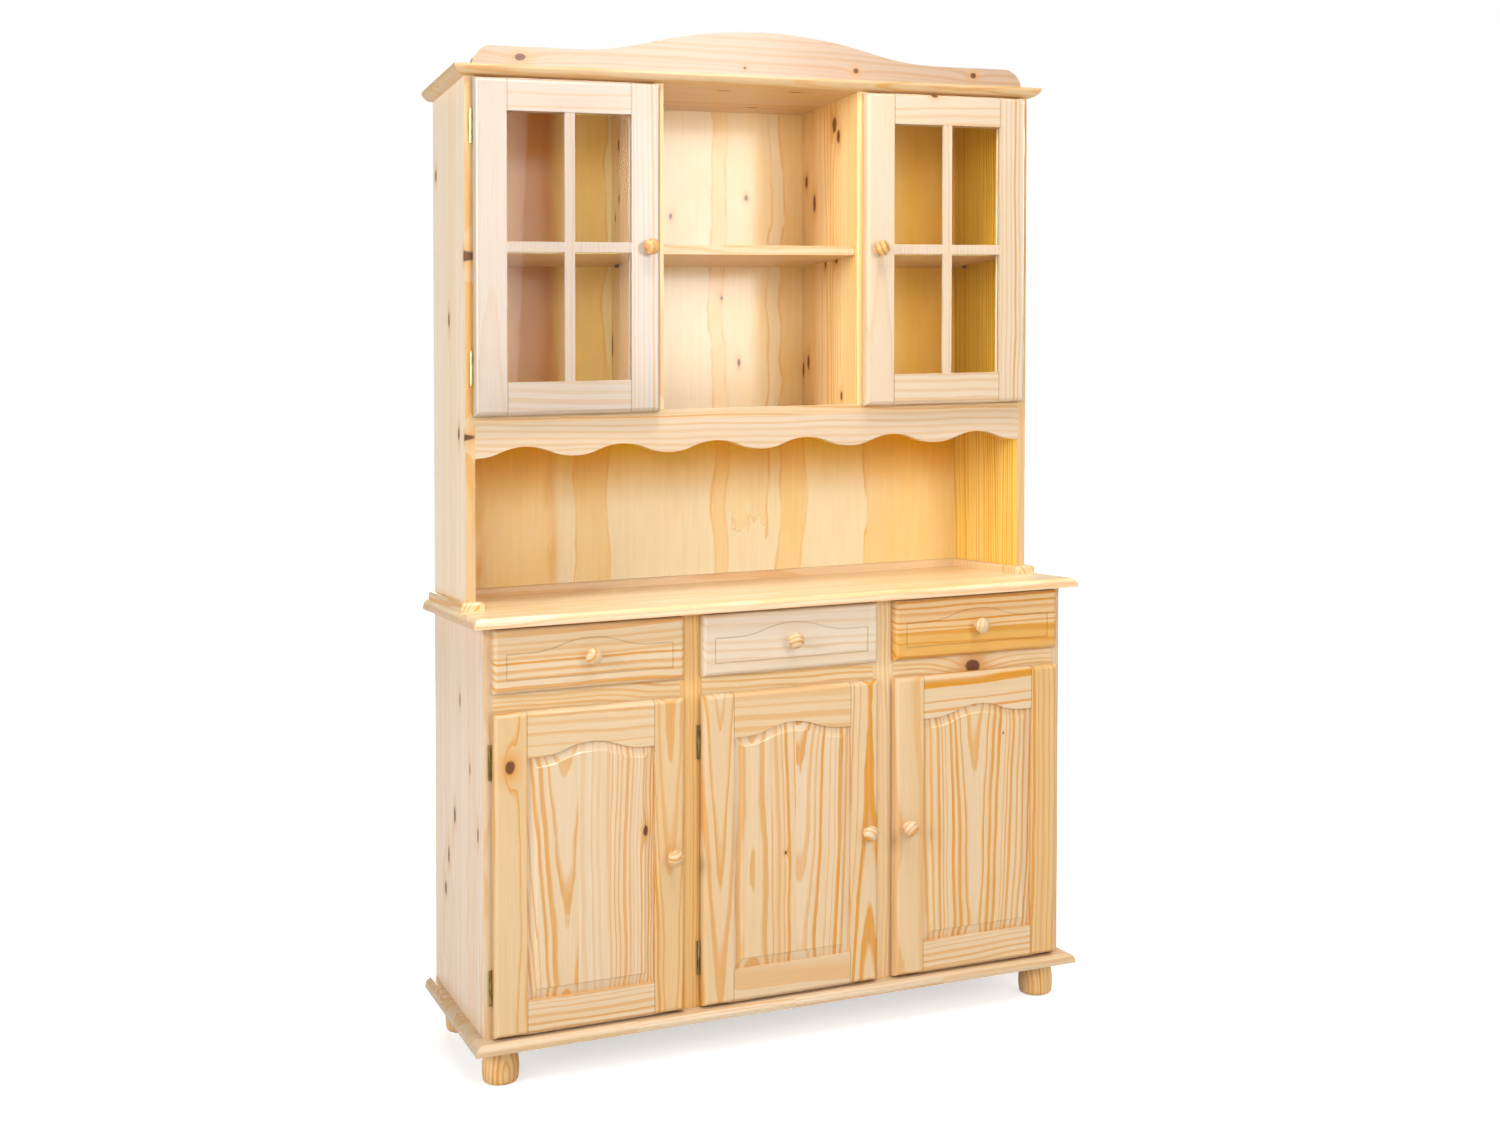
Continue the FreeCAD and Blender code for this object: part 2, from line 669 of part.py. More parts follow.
def panelled_door(name, bay):
    left_x = bay_centres[bay] - front_width / 2
    side = hinge_sides[bay]
    door_back_y = base_front - hinge_reach
    place = Vector(left_x, door_back_y, door_z)
    sight_xs = (door_stile_width, front_width - door_stile_width)
    spring = door_height - door_top_rail_height
    field_half = front_width / 2 - door_stile_width - field_margin
    arch_half_span = field_half * door_arch_span_share

    def sight_wire(y, grow):
        return arched_outline(sight_xs, door_rail_height, spring, door_arch_rise, arch_half_span, y, grow)

    stiles, rails = framed_door(door_height, door_rail_height, door_top_rail_height + door_arch_rise,
                                panel_groove_width, panel_groove_depth, sight_wire)

    # The panel is a plate in the grooves, with sloping margins that rise to a steep step round the field
    plate_front = -door_thickness / 2 - panel_groove_width / 2
    field_face = -door_thickness + field_setback
    margin_face = field_face + field_step
    plate_edge = sight_wire(plate_front, panel_groove_depth - panel_play)
    field_edge = sight_wire(margin_face, -field_margin)
    plate = prism(plate_edge, Vector(0, panel_groove_width, 0))
    margin = Part.makeLoft([sight_wire(plate_front, -panel_play), field_edge], True, True)
    field = Part.makeLoft([field_edge, sight_wire(field_face, -field_margin - field_step_run)], True, True)
    panel = plate.fuse([margin, field]).removeSplitter()

    knob_x = knob_on_door(name, left_x, side, door_back_y, door_z + door_height / 2)
    hole = knob_hole(knob_x, -door_thickness, door_height / 2)
    save(name + "_stiles", *[stile.cut(hole).translated(place) for stile in stiles])
    save(name + "_rails", *[rail.translated(place) for rail in rails])
    save(name + "_panel", panel.translated(place))
    hang_door(name, left_x, side, base_front, door_z, door_height)


for bay in bay_centres:
    panelled_door(bay + "_door", bay)


# Glazed doors of the hutch

def glazed_door(name, bay):
    left_x = bay_centres[bay] - front_width / 2
    side = hinge_sides[bay]
    door_back_y = hutch_front - hinge_reach
    place = Vector(left_x, door_back_y, glazed_door_z)
    height = glazed_door_height
    sight_xs = (door_stile_width, front_width - door_stile_width)
    sight_zs = (glazed_rail_height, height - glazed_rail_height)

    def sight_wire(y, grow):
        x0 = sight_xs[0] - grow
        x1 = sight_xs[1] + grow
        z0 = sight_zs[0] - grow
        z1 = sight_zs[1] + grow
        start = Vector(x0, y, z0)
        return outline(start, Vector(x1, y, z0), Vector(x1, y, z1), Vector(x0, y, z1), start)

    stiles, rails = framed_door(height, glazed_rail_height, glazed_rail_height,
                                glass_thickness, glass_groove_depth, sight_wire)
    glass_front = -door_thickness / 2 - glass_thickness / 2
    glass = prism(sight_wire(glass_front, glass_groove_depth - glass_play), Vector(0, glass_thickness, 0))

    # Glazing bars in front of the glass, halved into each other where they cross
    bar_face = -door_thickness + bar_setback
    bar_middle = (bar_face + glass_front) / 2
    upright_xs = (front_width / 2 - bar_width / 2, front_width / 2 + bar_width / 2)
    cross_zs = (height / 2 - bar_width / 2, height / 2 + bar_width / 2)
    upright = box(upright_xs, (bar_face, glass_front), sight_zs)
    upright = upright.cut(box(upright_xs, (bar_middle, glass_front + overrun), cross_zs))
    cross = box(sight_xs, (bar_face, glass_front), cross_zs)
    cross = cross.cut(box(upright_xs, (bar_face - overrun, bar_middle), cross_zs))

    knob_x = knob_on_door(name, left_x, side, door_back_y, glazed_door_z + height / 2)
    hole = knob_hole(knob_x, -door_thickness, height / 2)
    save(name + "_stiles", *[stile.cut(hole).translated(place) for stile in stiles])
    save(name + "_rails", *[rail.translated(place) for rail in rails])
    save(name + "_bars", upright.translated(place), cross.translated(place))
    save(name + "_glass", glass.translated(place))
    hang_door(name, left_x, side, hutch_front, glazed_door_z, height)


for bay in ("left", "right"):
    glazed_door(bay + "_glazed_door", bay)

save("hinge_fixed_leaves", *[hinge.fixed_leaf() for hinge in all_hinges])
save("hinge_pins", *[hinge.pin() for hinge in all_hinges])


# Drawers

def drawer(name, bay):
    left_x = bay_centres[bay] - front_width / 2
    back_y = base_front - drawer_gap
    place = Vector(left_x, back_y, drawer_z)
    height = drawer_front_height
    front = moulded_front(front_width, height, drawer_thickness)

    # The routed line is the ring between two arched outlines
    line_xs = (line_inset, front_width - line_inset)
    spring = height - line_top_inset - line_rise
    line_half_span = (front_width / 2 - line_inset) * line_span_share

    cut_front = -drawer_thickness - overrun

    def line_wire(grow):
        return arched_outline(line_xs, line_inset, spring, line_rise, line_half_span, cut_front, grow)

    line_reach = Vector(0, overrun + line_depth, 0)
    front = front.cut(prism(line_wire(0), line_reach).cut(prism(line_wire(-line_width), line_reach)))

    # Box: two sides on the runners, a back between them, and a bottom let into front and sides
    side_z = rail_top_z + drawer_lift - drawer_z
    side_top = worktop_z - drawer_headroom - drawer_z
    box_xs = (front_width / 2 - drawer_box_half, front_width / 2 + drawer_box_half)
    inside_xs = (box_xs[0] + drawer_side_thickness, box_xs[1] - drawer_side_thickness)
    bottom_z = side_z + drawer_bottom_lift
    bottom = box((inside_xs[0] - drawer_bottom_inset, inside_xs[1] + drawer_bottom_inset),
                 (-drawer_bottom_inset, drawer_box_depth), (bottom_z, bottom_z + drawer_bottom_thickness))
    sides = [box(xs, (0, drawer_box_depth), (side_z, side_top)).cut(bottom)
             for xs in ((box_xs[0], inside_xs[0]), (inside_xs[1], box_xs[1]))]
    rear = box(inside_xs, (drawer_box_depth - drawer_side_thickness, drawer_box_depth),
               (bottom_z + drawer_bottom_thickness, side_top - drawer_back_drop))
    front = front.cut(bottom).cut(knob_hole(front_width / 2, -drawer_thickness, height / 2))

    save(name + "_front", front.translated(place))
    save(name + "_box", *[solid.translated(place) for solid in sides + [rear, bottom]])
    save(name + "_knob", turned_knob(left_x + front_width / 2, back_y - drawer_thickness,
                                     drawer_z + height / 2))


for bay in bay_centres:
    drawer(bay + "_drawer", bay)
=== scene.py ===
import math
import random
from typing import NamedTuple

import bpy
import numpy as np
from mathutils import Matrix, Vector


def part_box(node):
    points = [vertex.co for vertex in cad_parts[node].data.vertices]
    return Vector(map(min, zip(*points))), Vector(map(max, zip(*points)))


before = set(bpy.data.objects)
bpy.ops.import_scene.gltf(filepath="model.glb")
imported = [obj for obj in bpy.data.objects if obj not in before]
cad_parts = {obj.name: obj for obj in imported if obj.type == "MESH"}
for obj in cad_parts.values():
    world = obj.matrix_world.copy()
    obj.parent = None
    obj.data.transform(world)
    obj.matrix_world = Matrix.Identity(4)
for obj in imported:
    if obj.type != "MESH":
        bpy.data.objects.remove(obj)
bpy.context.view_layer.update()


# The plinth board is the first board on the bench: solid pine glued up from narrow strips, rounded
# along its front and ends, and lacquered clear. Everything else stands on it. The pine's figure is
# worked out here, because every board of the dresser is cut from the same kind of wood.

class Signal:
    """One value in a node tree; arithmetic on it adds the nodes that work it out."""

    def __init__(self, graph, socket):
        self.graph = graph
        self.socket = socket

    def __add__(self, other):
        return self.graph.math("ADD", self, other)

    def __radd__(self, other):
        return self.graph.math("ADD", other, self)

    def __sub__(self, other):
        return self.graph.math("SUBTRACT", self, other)

    def __rsub__(self, other):
        return self.graph.math("SUBTRACT", other, self)

    def __mul__(self, other):
        return self.graph.math("MULTIPLY", self, other)

    def __rmul__(self, other):
        return self.graph.math("MULTIPLY", other, self)

    def __truediv__(self, other):
        return self.graph.math("DIVIDE", self, other)

    def __pow__(self, other):
        return self.graph.math("POWER", self, other)

    def __gt__(self, other):
        return self.graph.math("GREATER_THAN", self, other)

    def __lt__(self, other):
        return self.graph.math("LESS_THAN", self, other)

    def __abs__(self):
        return self.graph.math("ABSOLUTE", self)


class Graph:
    """A node tree being wired: each call adds one node and gives its outgoing value."""

    def __init__(self, tree):
        self.tree = tree

    def put(self, socket, value):
        if isinstance(value, Signal):
            self.tree.links.new(value.socket, socket)
        else:
            socket.default_value = value

    def node(self, kind, inputs, **settings):
        made = self.tree.nodes.new("ShaderNode" + kind)
        for name, value in settings.items():
            setattr(made, name, value)
        for name, value in inputs.items():
            self.put(made.inputs[name], value)
        return made

    def out(self, made, name):
        return Signal(self, made.outputs[name])

    def math(self, operation, *values):
        return self.out(self.node("Math", dict(enumerate(values)), operation=operation), 0)

    def vector(self, x, y, z):
        return self.out(self.node("CombineXYZ", {"X": x, "Y": y, "Z": z}), "Vector")

    def parts(self, vector):
        split = self.node("SeparateXYZ", {"Vector": vector})
        return [self.out(split, axis) for axis in "XYZ"]

    def place(self):
        """Object coordinates of the shaded point, as x, y and z."""
        return self.parts(self.out(self.node("TexCoord", {}), "Object"))

    def facing(self):
        """Direction that the surface faces there, as x, y and z."""
        return self.parts(self.out(self.node("TexCoord", {}), "Normal"))

    def noise(self, x, y, z, detail=1.0):
        """Smooth noise about zero, one cycle for each whole number along an axis."""
        made = self.node("TexNoise", {"Vector": self.vector(x, y, z), "Scale": 1.0, "Detail": detail})
        return self.out(made, "Fac") - 0.5

    def draws(self, value):
        """Three steady random numbers from 0 to 1 for each whole number."""
        made = self.node("TexWhiteNoise", {"W": value}, noise_dimensions="1D")
        split = self.node("SeparateColor", {"Color": self.out(made, "Color")})
        return [self.out(split, name) for name in ("Red", "Green", "Blue")]

    def rise(self, value, low, high):
        """0 below low, 1 above high, with a smooth step between."""
        made = self.node("MapRange", {"Value": value, "From Min": low, "From Max": high},
                         interpolation_type="SMOOTHSTEP")
        return self.out(made, "Result")

    def mix(self, share, first, second, blend="MIX"):
        """Colour that goes from first to second with share."""
        factor, colour_a, colour_b, result = 0, 6, 7, 2
        made = self.node("Mix", {factor: share, colour_a: first, colour_b: second},
                         data_type="RGBA", blend_type=blend)
        return self.out(made, result)

    def scaled(self, colour, value):
        """Colour times a single value."""
        made = self.node("VectorMath", {0: colour, "Scale": value}, operation="SCALE")
        return self.out(made, "Vector")

    def group(self, tree, inputs):
        return self.node("Group", inputs, node_tree=tree)


def new_group(name, inputs, outputs):
    """Node group with named sockets; gives its tree, its graph, its inputs and its output node."""
    tree = bpy.data.node_groups.new(name, "ShaderNodeTree")
    for direction, sockets in (("INPUT", inputs), ("OUTPUT", outputs)):
        for socket, kind in sockets.items():
            tree.interface.new_socket(socket, in_out=direction, socket_type="NodeSocket" + kind)
    graph = Graph(tree)
    entry = tree.nodes.new("NodeGroupInput")
    leave = tree.nodes.new("NodeGroupOutput")
    return tree, graph, {socket: Signal(graph, entry.outputs[socket]) for socket in inputs}, leave


def srgb(red, green, blue):
    """Colour as seen on a screen, 0 to 255, turned into the linear values that shaders take."""
    def linear(value):
        share = value / 255
        return share / 12.92 if share <= 0.04045 else ((share + 0.055) / 1.055) ** 2.4
    return (linear(red), linear(green), linear(blue), 1.0)


def pine_figure():
    """Growth rings round a pith that runs along the board, out of true in the ways that trees are.

    The radius from the pith, plus a taper along the board, plus slow drift, sway and ripple, is
    cut into rings. Each ring is pale earlywood that deepens to an orange latewood band and ends
    sharply; its band has its own width and strength.
    """
    tree, graph, given, leave = new_group("pine_figure", {
        "Point": "Vector", "Pith across": "Float", "Pith depth": "Float", "Taper": "Float",
        "Spacing": "Float", "Contrast": "Float", "Warmth": "Float", "Shift": "Float", "Lift": "Float",
        "Wander": "Float", "Early": "Color", "Late": "Color", "Honey": "Color"},
        {"Colour": "Color", "Height": "Float"})
    along, across, depth = graph.parts(given["Point"])
    shifted = along + given["Shift"]
    drift = graph.noise(shifted * 1.3, across * 3.0, depth * 3.0) * given["Wander"]
    sway = graph.noise(shifted * 6.0, across * 15.0, depth * 15.0) * given["Wander"] * 0.26
    ripple = graph.noise(shifted * 34.0, across * 130.0, depth * 130.0) * 0.0014
    off_across = across - given["Pith across"]
    off_depth = depth - given["Pith depth"]
    radius = (off_across * off_across + off_depth * off_depth) ** 0.5
    radius = radius + given["Taper"] * along + drift + sway + ripple + given["Lift"]
    uneven = graph.noise(radius * 24.0, given["Shift"], 0.5)
    turns = radius / given["Spacing"] + uneven * 2.2
    ring = graph.math("FLOOR", turns)
    share = turns - ring
    width_draw, strength_draw, tone_draw = graph.draws(ring + given["Shift"])
    band_start = 0.70 - 0.45 * width_draw
    band = graph.rise(share, band_start, band_start + 0.28) * (1.0 - graph.rise(share, 0.93, 1.0))
    band = band * (0.50 + 0.50 * strength_draw)
    streak = graph.noise(shifted * 4.0, across * 190.0, depth * 190.0)
    fibre = graph.noise(shifted * 14.0, across * 800.0, depth * 800.0)
    tone = graph.noise(shifted * 0.9, across * 11.0, depth * 11.0) + (tone_draw - 0.5) * 0.22
    honey_share = graph.math("MAXIMUM", given["Warmth"] + tone * 0.9, 0.0)
    ground = graph.mix(graph.math("MINIMUM", honey_share, 1.0), given["Early"], given["Honey"])
    band_share = graph.math("MINIMUM", band * given["Contrast"] * (1.0 + streak * 0.8), 1.0)
    colour = graph.mix(band_share, ground, given["Late"])
    shade = 1.0 + streak * 0.10 + fibre * 0.16
    graph.put(leave.inputs["Colour"], graph.scaled(colour, shade))
    graph.put(leave.inputs["Height"], band_share * 0.4 + fibre * 0.8 + streak * 0.3)
    return tree


def pine_knot():
    """A branch cut across: a ringed core round a dark pith, a dark rim, and a halo of warm wood.

    Reach is the distance from the branch in knot radii, stretched along the grain. Lift is what the
    branch adds to the radius of the growth rings near it, so that they flow round it.
    """
    tree, graph, given, leave = new_group("pine_knot", {
        "Point": "Vector", "Along": "Float", "Across": "Float", "Radius": "Float", "Stretch": "Float"},
        {"Lift": "Float", "Core": "Float", "Dark": "Float", "Halo": "Float"})
    along, across, depth = graph.parts(given["Point"])
    off_along = (along - given["Along"]) / (given["Stretch"] * given["Radius"])
    off_across = (across - given["Across"] + depth * 0.15) / given["Radius"]
    uneven = graph.noise(off_along * 0.8, off_across * 0.8, given["Along"] * 40.0)
    reach = (off_along * off_along + off_across * off_across) ** 0.5 + uneven * 0.55
    long_along = off_along * 0.42
    flow = long_along * long_along + off_across * off_across
    graph.put(leave.inputs["Lift"], given["Radius"] * 1.5 * graph.math("EXPONENT", flow * -0.22))
    core = 1.0 - graph.rise(reach, 0.8, 1.0)
    rings = graph.math("SINE", reach * 21.0) * 0.5 + 0.5
    pith = 1.0 - graph.rise(reach, 0.05, 0.35)
    past_rim = (reach - 0.98) * 4.5
    rim = graph.math("EXPONENT", past_rim * past_rim * -1.0) * 0.85
    graph.put(leave.inputs["Core"], core)
    graph.put(leave.inputs["Dark"], graph.math("MAXIMUM", rim, core * (rings * 0.25 + pith * 0.6)))
    graph.put(leave.inputs["Halo"], graph.math("EXPONENT", reach * reach * -0.16))
    return tree


class Strip(NamedTuple):
    """One sawn strip of a glued-up board, from its edge across the board; metres."""
    start: float
    pith_across: float
    pith_depth: float = 0.05
    taper: float = 0.01
    spacing: float = 0.007
    contrast: float = 0.7
    warmth: float = 0.25


class Knot(NamedTuple):
    """One knot of a board: its place, radius, stretch along the grain and strength of halo; metres."""
    along: float
    across: float
    radius: float
    stretch: float = 1.15
    halo: float = 0.6


def glued_strips(low, high, count, seed, contrast=0.6, spacing=0.007, warmth=0.25, taper=0.03):
    """A board's width shared out to equal strips, each from another part of a tree."""
    draw = random.Random(seed)
    width = (high - low) / count
    strips = []
    for number in range(count):
        start = low + width * number
        strips.append(Strip(start, start + width * draw.uniform(-1.6, 2.6), draw.choice((-1, 1)) *
                            draw.uniform(0.02, 0.07), draw.uniform(-taper, taper),
                            spacing * draw.uniform(0.8, 1.3), contrast * draw.uniform(0.7, 1.25),
                            warmth + draw.uniform(-0.15, 0.15)))
    return strips


def stepped(across, strips, field):
    """A strip's number as a value over the board: it changes at each glue line."""
    value = getattr(strips[0], field)
    for before, after in zip(strips, strips[1:]):
        change = getattr(after, field) - getattr(before, field)
        if change:
            value = (across > after.start) * change + value
    return value


figure_tree = pine_figure()
knot_tree = pine_knot()
pine_tints = (srgb(225, 199, 164), srgb(220, 175, 106), srgb(213, 141, 16))
knot_core = srgb(124, 66, 24)
knot_rim = srgb(66, 34, 12)
knot_halo = srgb(214, 144, 40)


def lacquered(graph, material, colour, height, coat=0.55):
    """Clear lacquer over wood: a satin ground under a thin glossy coat, with the grain just felt."""
    shader = material.node_tree.nodes["Principled BSDF"]
    felt = graph.node("Bump", {"Height": height, "Strength": 0.25, "Distance": 0.0004})
    graph.put(shader.inputs["Base Color"], colour)
    graph.put(shader.inputs["Normal"], graph.out(felt, "Normal"))
    shader.inputs["Roughness"].default_value = 0.5
    shader.inputs["Specular IOR Level"].default_value = 0.3
    shader.inputs["Coat Weight"].default_value = coat
    shader.inputs["Coat Roughness"].default_value = 0.17
    return material


def new_material(name):
    """A node material and the graph that wires it."""
    material = bpy.data.materials.new(name)
    material.use_nodes = True
    return material, Graph(material.node_tree)


pair_gap = 1.0


def board_point(graph, grain, face, paired=False):
    """Place on a board as along, across and depth from its face plane, and how far an end faces out.

    Grain names the axes in that order. Of paired boards, one each side of the middle, the left one
    is read pair_gap further across, so that it has strips and knots of its own.
    """
    axes = dict(zip("xyz", graph.place()))
    along, across, depth = (axes[axis] for axis in grain)
    if paired:
        across = (depth < 0.0) * pair_gap + across
        depth = abs(depth)
    facing = dict(zip("xyz", graph.facing()))
    return along, across, depth - face, abs(facing[grain[0]])


def knot_marks(graph, place, knots):
    """How far a board's knots lift its rings, and the shares of their cores, dark parts and halos."""
    marks = dict.fromkeys(("Lift", "Core", "Dark", "Halo"), 0.0)
    for knot in knots:
        made = graph.group(knot_tree, {"Point": place, "Along": knot.along, "Across": knot.across,
                                       "Radius": knot.radius, "Stretch": knot.stretch})
        marks["Lift"] = graph.out(made, "Lift") + marks["Lift"]
        for share, strength in (("Core", 1.0), ("Dark", 1.0), ("Halo", knot.halo)):
            marks[share] = graph.math("MAXIMUM", graph.out(made, share) * strength, marks[share])
    return marks


def with_knots(graph, colour, marks):
    """Board colour with its knots laid over it."""
    colour = graph.mix(marks["Halo"], colour, knot_halo)
    colour = graph.mix(marks["Core"], colour, knot_core)
    return graph.mix(marks["Dark"], colour, knot_rim)


def pine_colour(graph, point, end_face, strips, knots=(), tints=pine_tints, wander=0.03, stave=0.0):
    """Colour and felt height of a pine board from its strips and knots.

    Where stave is a length, each strip is end-jointed from pieces that long, each with its own rings.
    """
    along, across, depth = point
    early, honey, late = tints
    place = graph.vector(along, across, depth)
    marks = knot_marks(graph, place, knots)
    inputs = {"Point": place, "Lift": marks["Lift"], "Wander": wander,
              "Early": early, "Honey": honey, "Late": late}
    for socket, field in (("Pith across", "pith_across"), ("Pith depth", "pith_depth"),
                          ("Taper", "taper"), ("Spacing", "spacing"), ("Contrast", "contrast"),
                          ("Warmth", "warmth")):
        inputs[socket] = stepped(across, strips, field)
    shift = stepped(across, [Strip(strip.start, 3.7 * number) for number, strip in enumerate(strips)],
                    "pith_across")
    if stave:
        piece = graph.math("FLOOR", (along + shift * 0.13) / stave)
        place_draw, warmth_draw, strength_draw = graph.draws(piece + shift)
        inputs["Pith across"] = (place_draw - 0.5) * 0.10 + inputs["Pith across"]
        inputs["Warmth"] = (warmth_draw - 0.5) * 0.4 + inputs["Warmth"]
        inputs["Contrast"] = (strength_draw - 0.5) * 0.4 + inputs["Contrast"]
        shift = piece * 1.9 + shift
    inputs["Shift"] = shift
    figure = graph.group(figure_tree, inputs)
    colour = graph.out(figure, "Colour")
    if knots:
        colour = with_knots(graph, colour, marks)
    end_grain = graph.rise(end_face, 0.72, 0.98)
    colour = graph.mix(end_grain * 0.45, colour, graph.scaled(colour, 0.80))
    return colour, graph.out(figure, "Height")


def pine(name, grain, face, strips, knots=(), paired=False, wander=0.03, tints=pine_tints, stave=0.0,
         joints=(), coat=0.55):
    """Lacquered pine for one board or one kind of board; a hair line of painted shade shows at joints."""
    material, graph = new_material(name)
    along, across, depth, end_face = board_point(graph, grain, face, paired)
    colour, height = pine_colour(graph, (along, across, depth), end_face, strips, knots, tints, wander, stave)
    # Painted shade: a dark hair line at each joint.
    for joint in joints:
        away = abs(along - joint)
        colour = graph.scaled(colour, graph.rise(away, 0.0002, 0.0016) * 0.45 + 0.55)
    return lacquered(graph, material, colour, height, coat)


def dress(node, material):
    """Gives a CAD node its finish."""
    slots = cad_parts[node].data.materials
    slots.clear()
    slots.append(material)


plinth_low, plinth_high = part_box("plinth_board")
dress("plinth_board", pine("plinth_pine", "xyz", plinth_high.z,
                           glued_strips(plinth_low.y, plinth_high.y, 9, seed=3, spacing=0.008), stave=0.31,
                           tints=(srgb(214, 189, 156), srgb(209, 166, 101), srgb(202, 134, 15))))

# Four bun feet turned from pine blocks, with a waist and a belly, held by a tenon in the plinth
# board. The left ones have the pith near the front, so the turning cuts the rings into ovals.
feet_low, feet_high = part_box("bun_feet")
dress("bun_feet", pine("foot_pine", "zxy", feet_low.y, [
    Strip(feet_low.x, feet_low.x + 0.036, -0.012, 0.05, 0.0085, 0.9, 0.4),
    Strip(0.0, feet_high.x - 0.20, 0.02, 0.02, 0.0080, 0.9, 0.5)],
    tints=(srgb(236, 200, 148), srgb(230, 176, 96), srgb(210, 136, 34))))

# Base sides: upright boards of edge-glued strips, paler than the fronts, with narrow spike knots.
# The plinth board carries them, and the back panel lies in their rebates.
base_side_tints = (srgb(238, 215, 191), srgb(236, 201, 162), srgb(226, 173, 110))
base_low, base_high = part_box("base_sides")
base_side_knots = [Knot(along, across + pair_gap, radius, stretch) for along, across, radius, stretch in (
    (0.438, 0.052, 0.006, 2.2), (0.351, 0.104, 0.005, 2.6), (0.281, 0.131, 0.007, 1.6),
    (0.438, -0.130, 0.004, 3.0), (0.660, 0.007, 0.0035, 3.0), (0.544, -0.070, 0.003, 3.2))]
base_side_strips = []
for edge in (base_low.y, base_low.y + pair_gap):
    base_side_strips += glued_strips(edge, edge + base_high.y - base_low.y, 6, seed=11, contrast=0.5,
                                     spacing=0.0062, warmth=0.15, taper=0.012)


def broad_and_edge(graph, outer, edge, axis):
    """Tints of a board whose broad faces, which look along the axis, differ from its edges."""
    broad = graph.rise(abs(graph.facing()[axis]), 0.3, 0.7)
    return [graph.mix(broad, plain, pale) for plain, pale in zip(edge, outer)]


material, graph = new_material("base_side_pine")
along, across, depth, end_face = board_point(graph, "zyx", base_high.x, paired=True)
colour, height = pine_colour(graph, (along, across, depth), end_face, base_side_strips, base_side_knots,
                             broad_and_edge(graph, base_side_tints, pine_tints, 0))
dress("base_sides", lacquered(graph, material, colour, height, coat=0.3))

# Partitions behind the posts divide the base into three bays. They are plain boards of edge-glued
# pine, standing on the plinth board and reaching back to the back panel.
dress("base_partitions", pine("base_partition_pine", "zyx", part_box("base_partitions")[1].x,
                              glued_strips(base_low.y, base_high.y, 5, seed=12)))


# The back panels are thin rotary-cut plywood let into rebates: a veneer peeled from the log has no
# straight rings but broad soft flames, honey on cream, with a small knot here and there.

class Flame(NamedTuple):
    """A band of honey veneer: its edges across the sheet, their softness, its foot and its depth."""
    low: float
    high: float
    soft: float = 0.004
    foot: float = 0.0
    deep: float = 0.72


def plywood(name, flames, knots=()):
    """Honey flames on a cream veneer, deeper along their edges, which sway and are ragged."""
    material, graph = new_material(name)
    along, across, depth, _ = board_point(graph, "zxy", 0.0)
    ragged = graph.noise(along * 14.0, across * 45.0, 4.1, detail=3.0)
    sway = graph.noise(along * 6.0, across * 3.0, 1.7)
    mottle = graph.noise(along * 9.0, across * 16.0, 8.2, detail=2.0)
    hair = graph.noise(along * 3.0, across * 420.0, 0.0)
    fine = graph.noise(along * 9.0, across * 120.0, 2.3)
    edge = across + sway * 0.045 + ragged * 0.016
    honey_share = graph.math("MAXIMUM", mottle * 0.9, 0.0)
    edge_share = 0.0
    for flame in flames:
        past_low = graph.rise(edge, flame.low - flame.soft, flame.low + flame.soft)
        past_high = graph.rise(edge, flame.high - flame.soft, flame.high + flame.soft)
        lit = past_low * (1.0 - past_high)
        if flame.foot:
            lit = lit * graph.rise(along + ragged * 0.22, flame.foot - flame.soft, flame.foot + flame.soft)
        edge_share = graph.math("MAXIMUM", lit * (1.0 - lit) * 4.0, edge_share)
        honey_share = graph.math("MAXIMUM", lit * (flame.deep + mottle * 0.9), honey_share)
    colour = graph.mix(honey_share, veneer_cream, veneer_honey)
    colour = graph.mix(edge_share * (0.45 + ragged * 1.6), colour, veneer_edge)
    colour = graph.scaled(colour, 1.0 + fine * 0.10 + hair * 0.10)
    if knots:
        colour = with_knots(graph, colour, knot_marks(graph, graph.vector(along, across, depth), knots))
    return material, graph, colour, hair + honey_share * 0.2


veneer_cream = srgb(254, 238, 196)
veneer_honey = srgb(252, 216, 136)
veneer_edge = srgb(240, 184, 84)
material, graph, colour, height = plywood("base_back_plywood", [
    Flame(-0.31, -0.20), Flame(0.08, 0.16), Flame(0.36, 0.47)])
dress("base_back_panel", lacquered(graph, material, colour, height))

# The hutch's sheet is glossier, and lies in the rebates of the hutch sides. Behind the glass its
# front is painted darker as shade, deepest in a band on the left, with painted light at the left
# of the right bay, and it is painted amber as shade under the apron.
material, graph, colour, height = plywood("hutch_back_plywood", [
    Flame(-0.50, -0.35, 0.02), Flame(-0.302, -0.231), Flame(0.0, 0.029),
    Flame(0.029, 0.124, foot=0.95, deep=0.35), Flame(0.151, 0.206), Flame(0.352, 0.60)], [
    Knot(1.736, -0.106, 0.0065), Knot(1.621, 0.106, 0.0032, 1.5), Knot(1.581, -0.061, 0.0026, 1.8),
    Knot(1.280, 0.090, 0.0026, 2.4), Knot(1.414, 0.051, 0.0022, 1.5)])
x, y, z = graph.place()
front = graph.facing()[1] < 0.0
bay_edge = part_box("hutch_partitions")[1].x
bay_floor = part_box("hutch_bottom_board")[0].z
closed = front * (z > bay_floor)
# Painted shade behind the glass: the left bay darker on its left with a deepest band, the right bay darker to
# its right.
left_bay_shade_band = graph.rise(x, -0.44, -0.40) * (1.0 - graph.rise(x, -0.36, -0.29))
left_bay_shade = graph.mix(graph.rise(x, -0.42, -0.30), srgb(216, 174, 112), srgb(255, 246, 216))
left_bay_shade = graph.mix(left_bay_shade_band, left_bay_shade, srgb(190, 134, 30))
right_bay_shade = graph.mix(graph.rise(x, 0.30, 0.46), srgb(255, 253, 252), srgb(246, 214, 140))
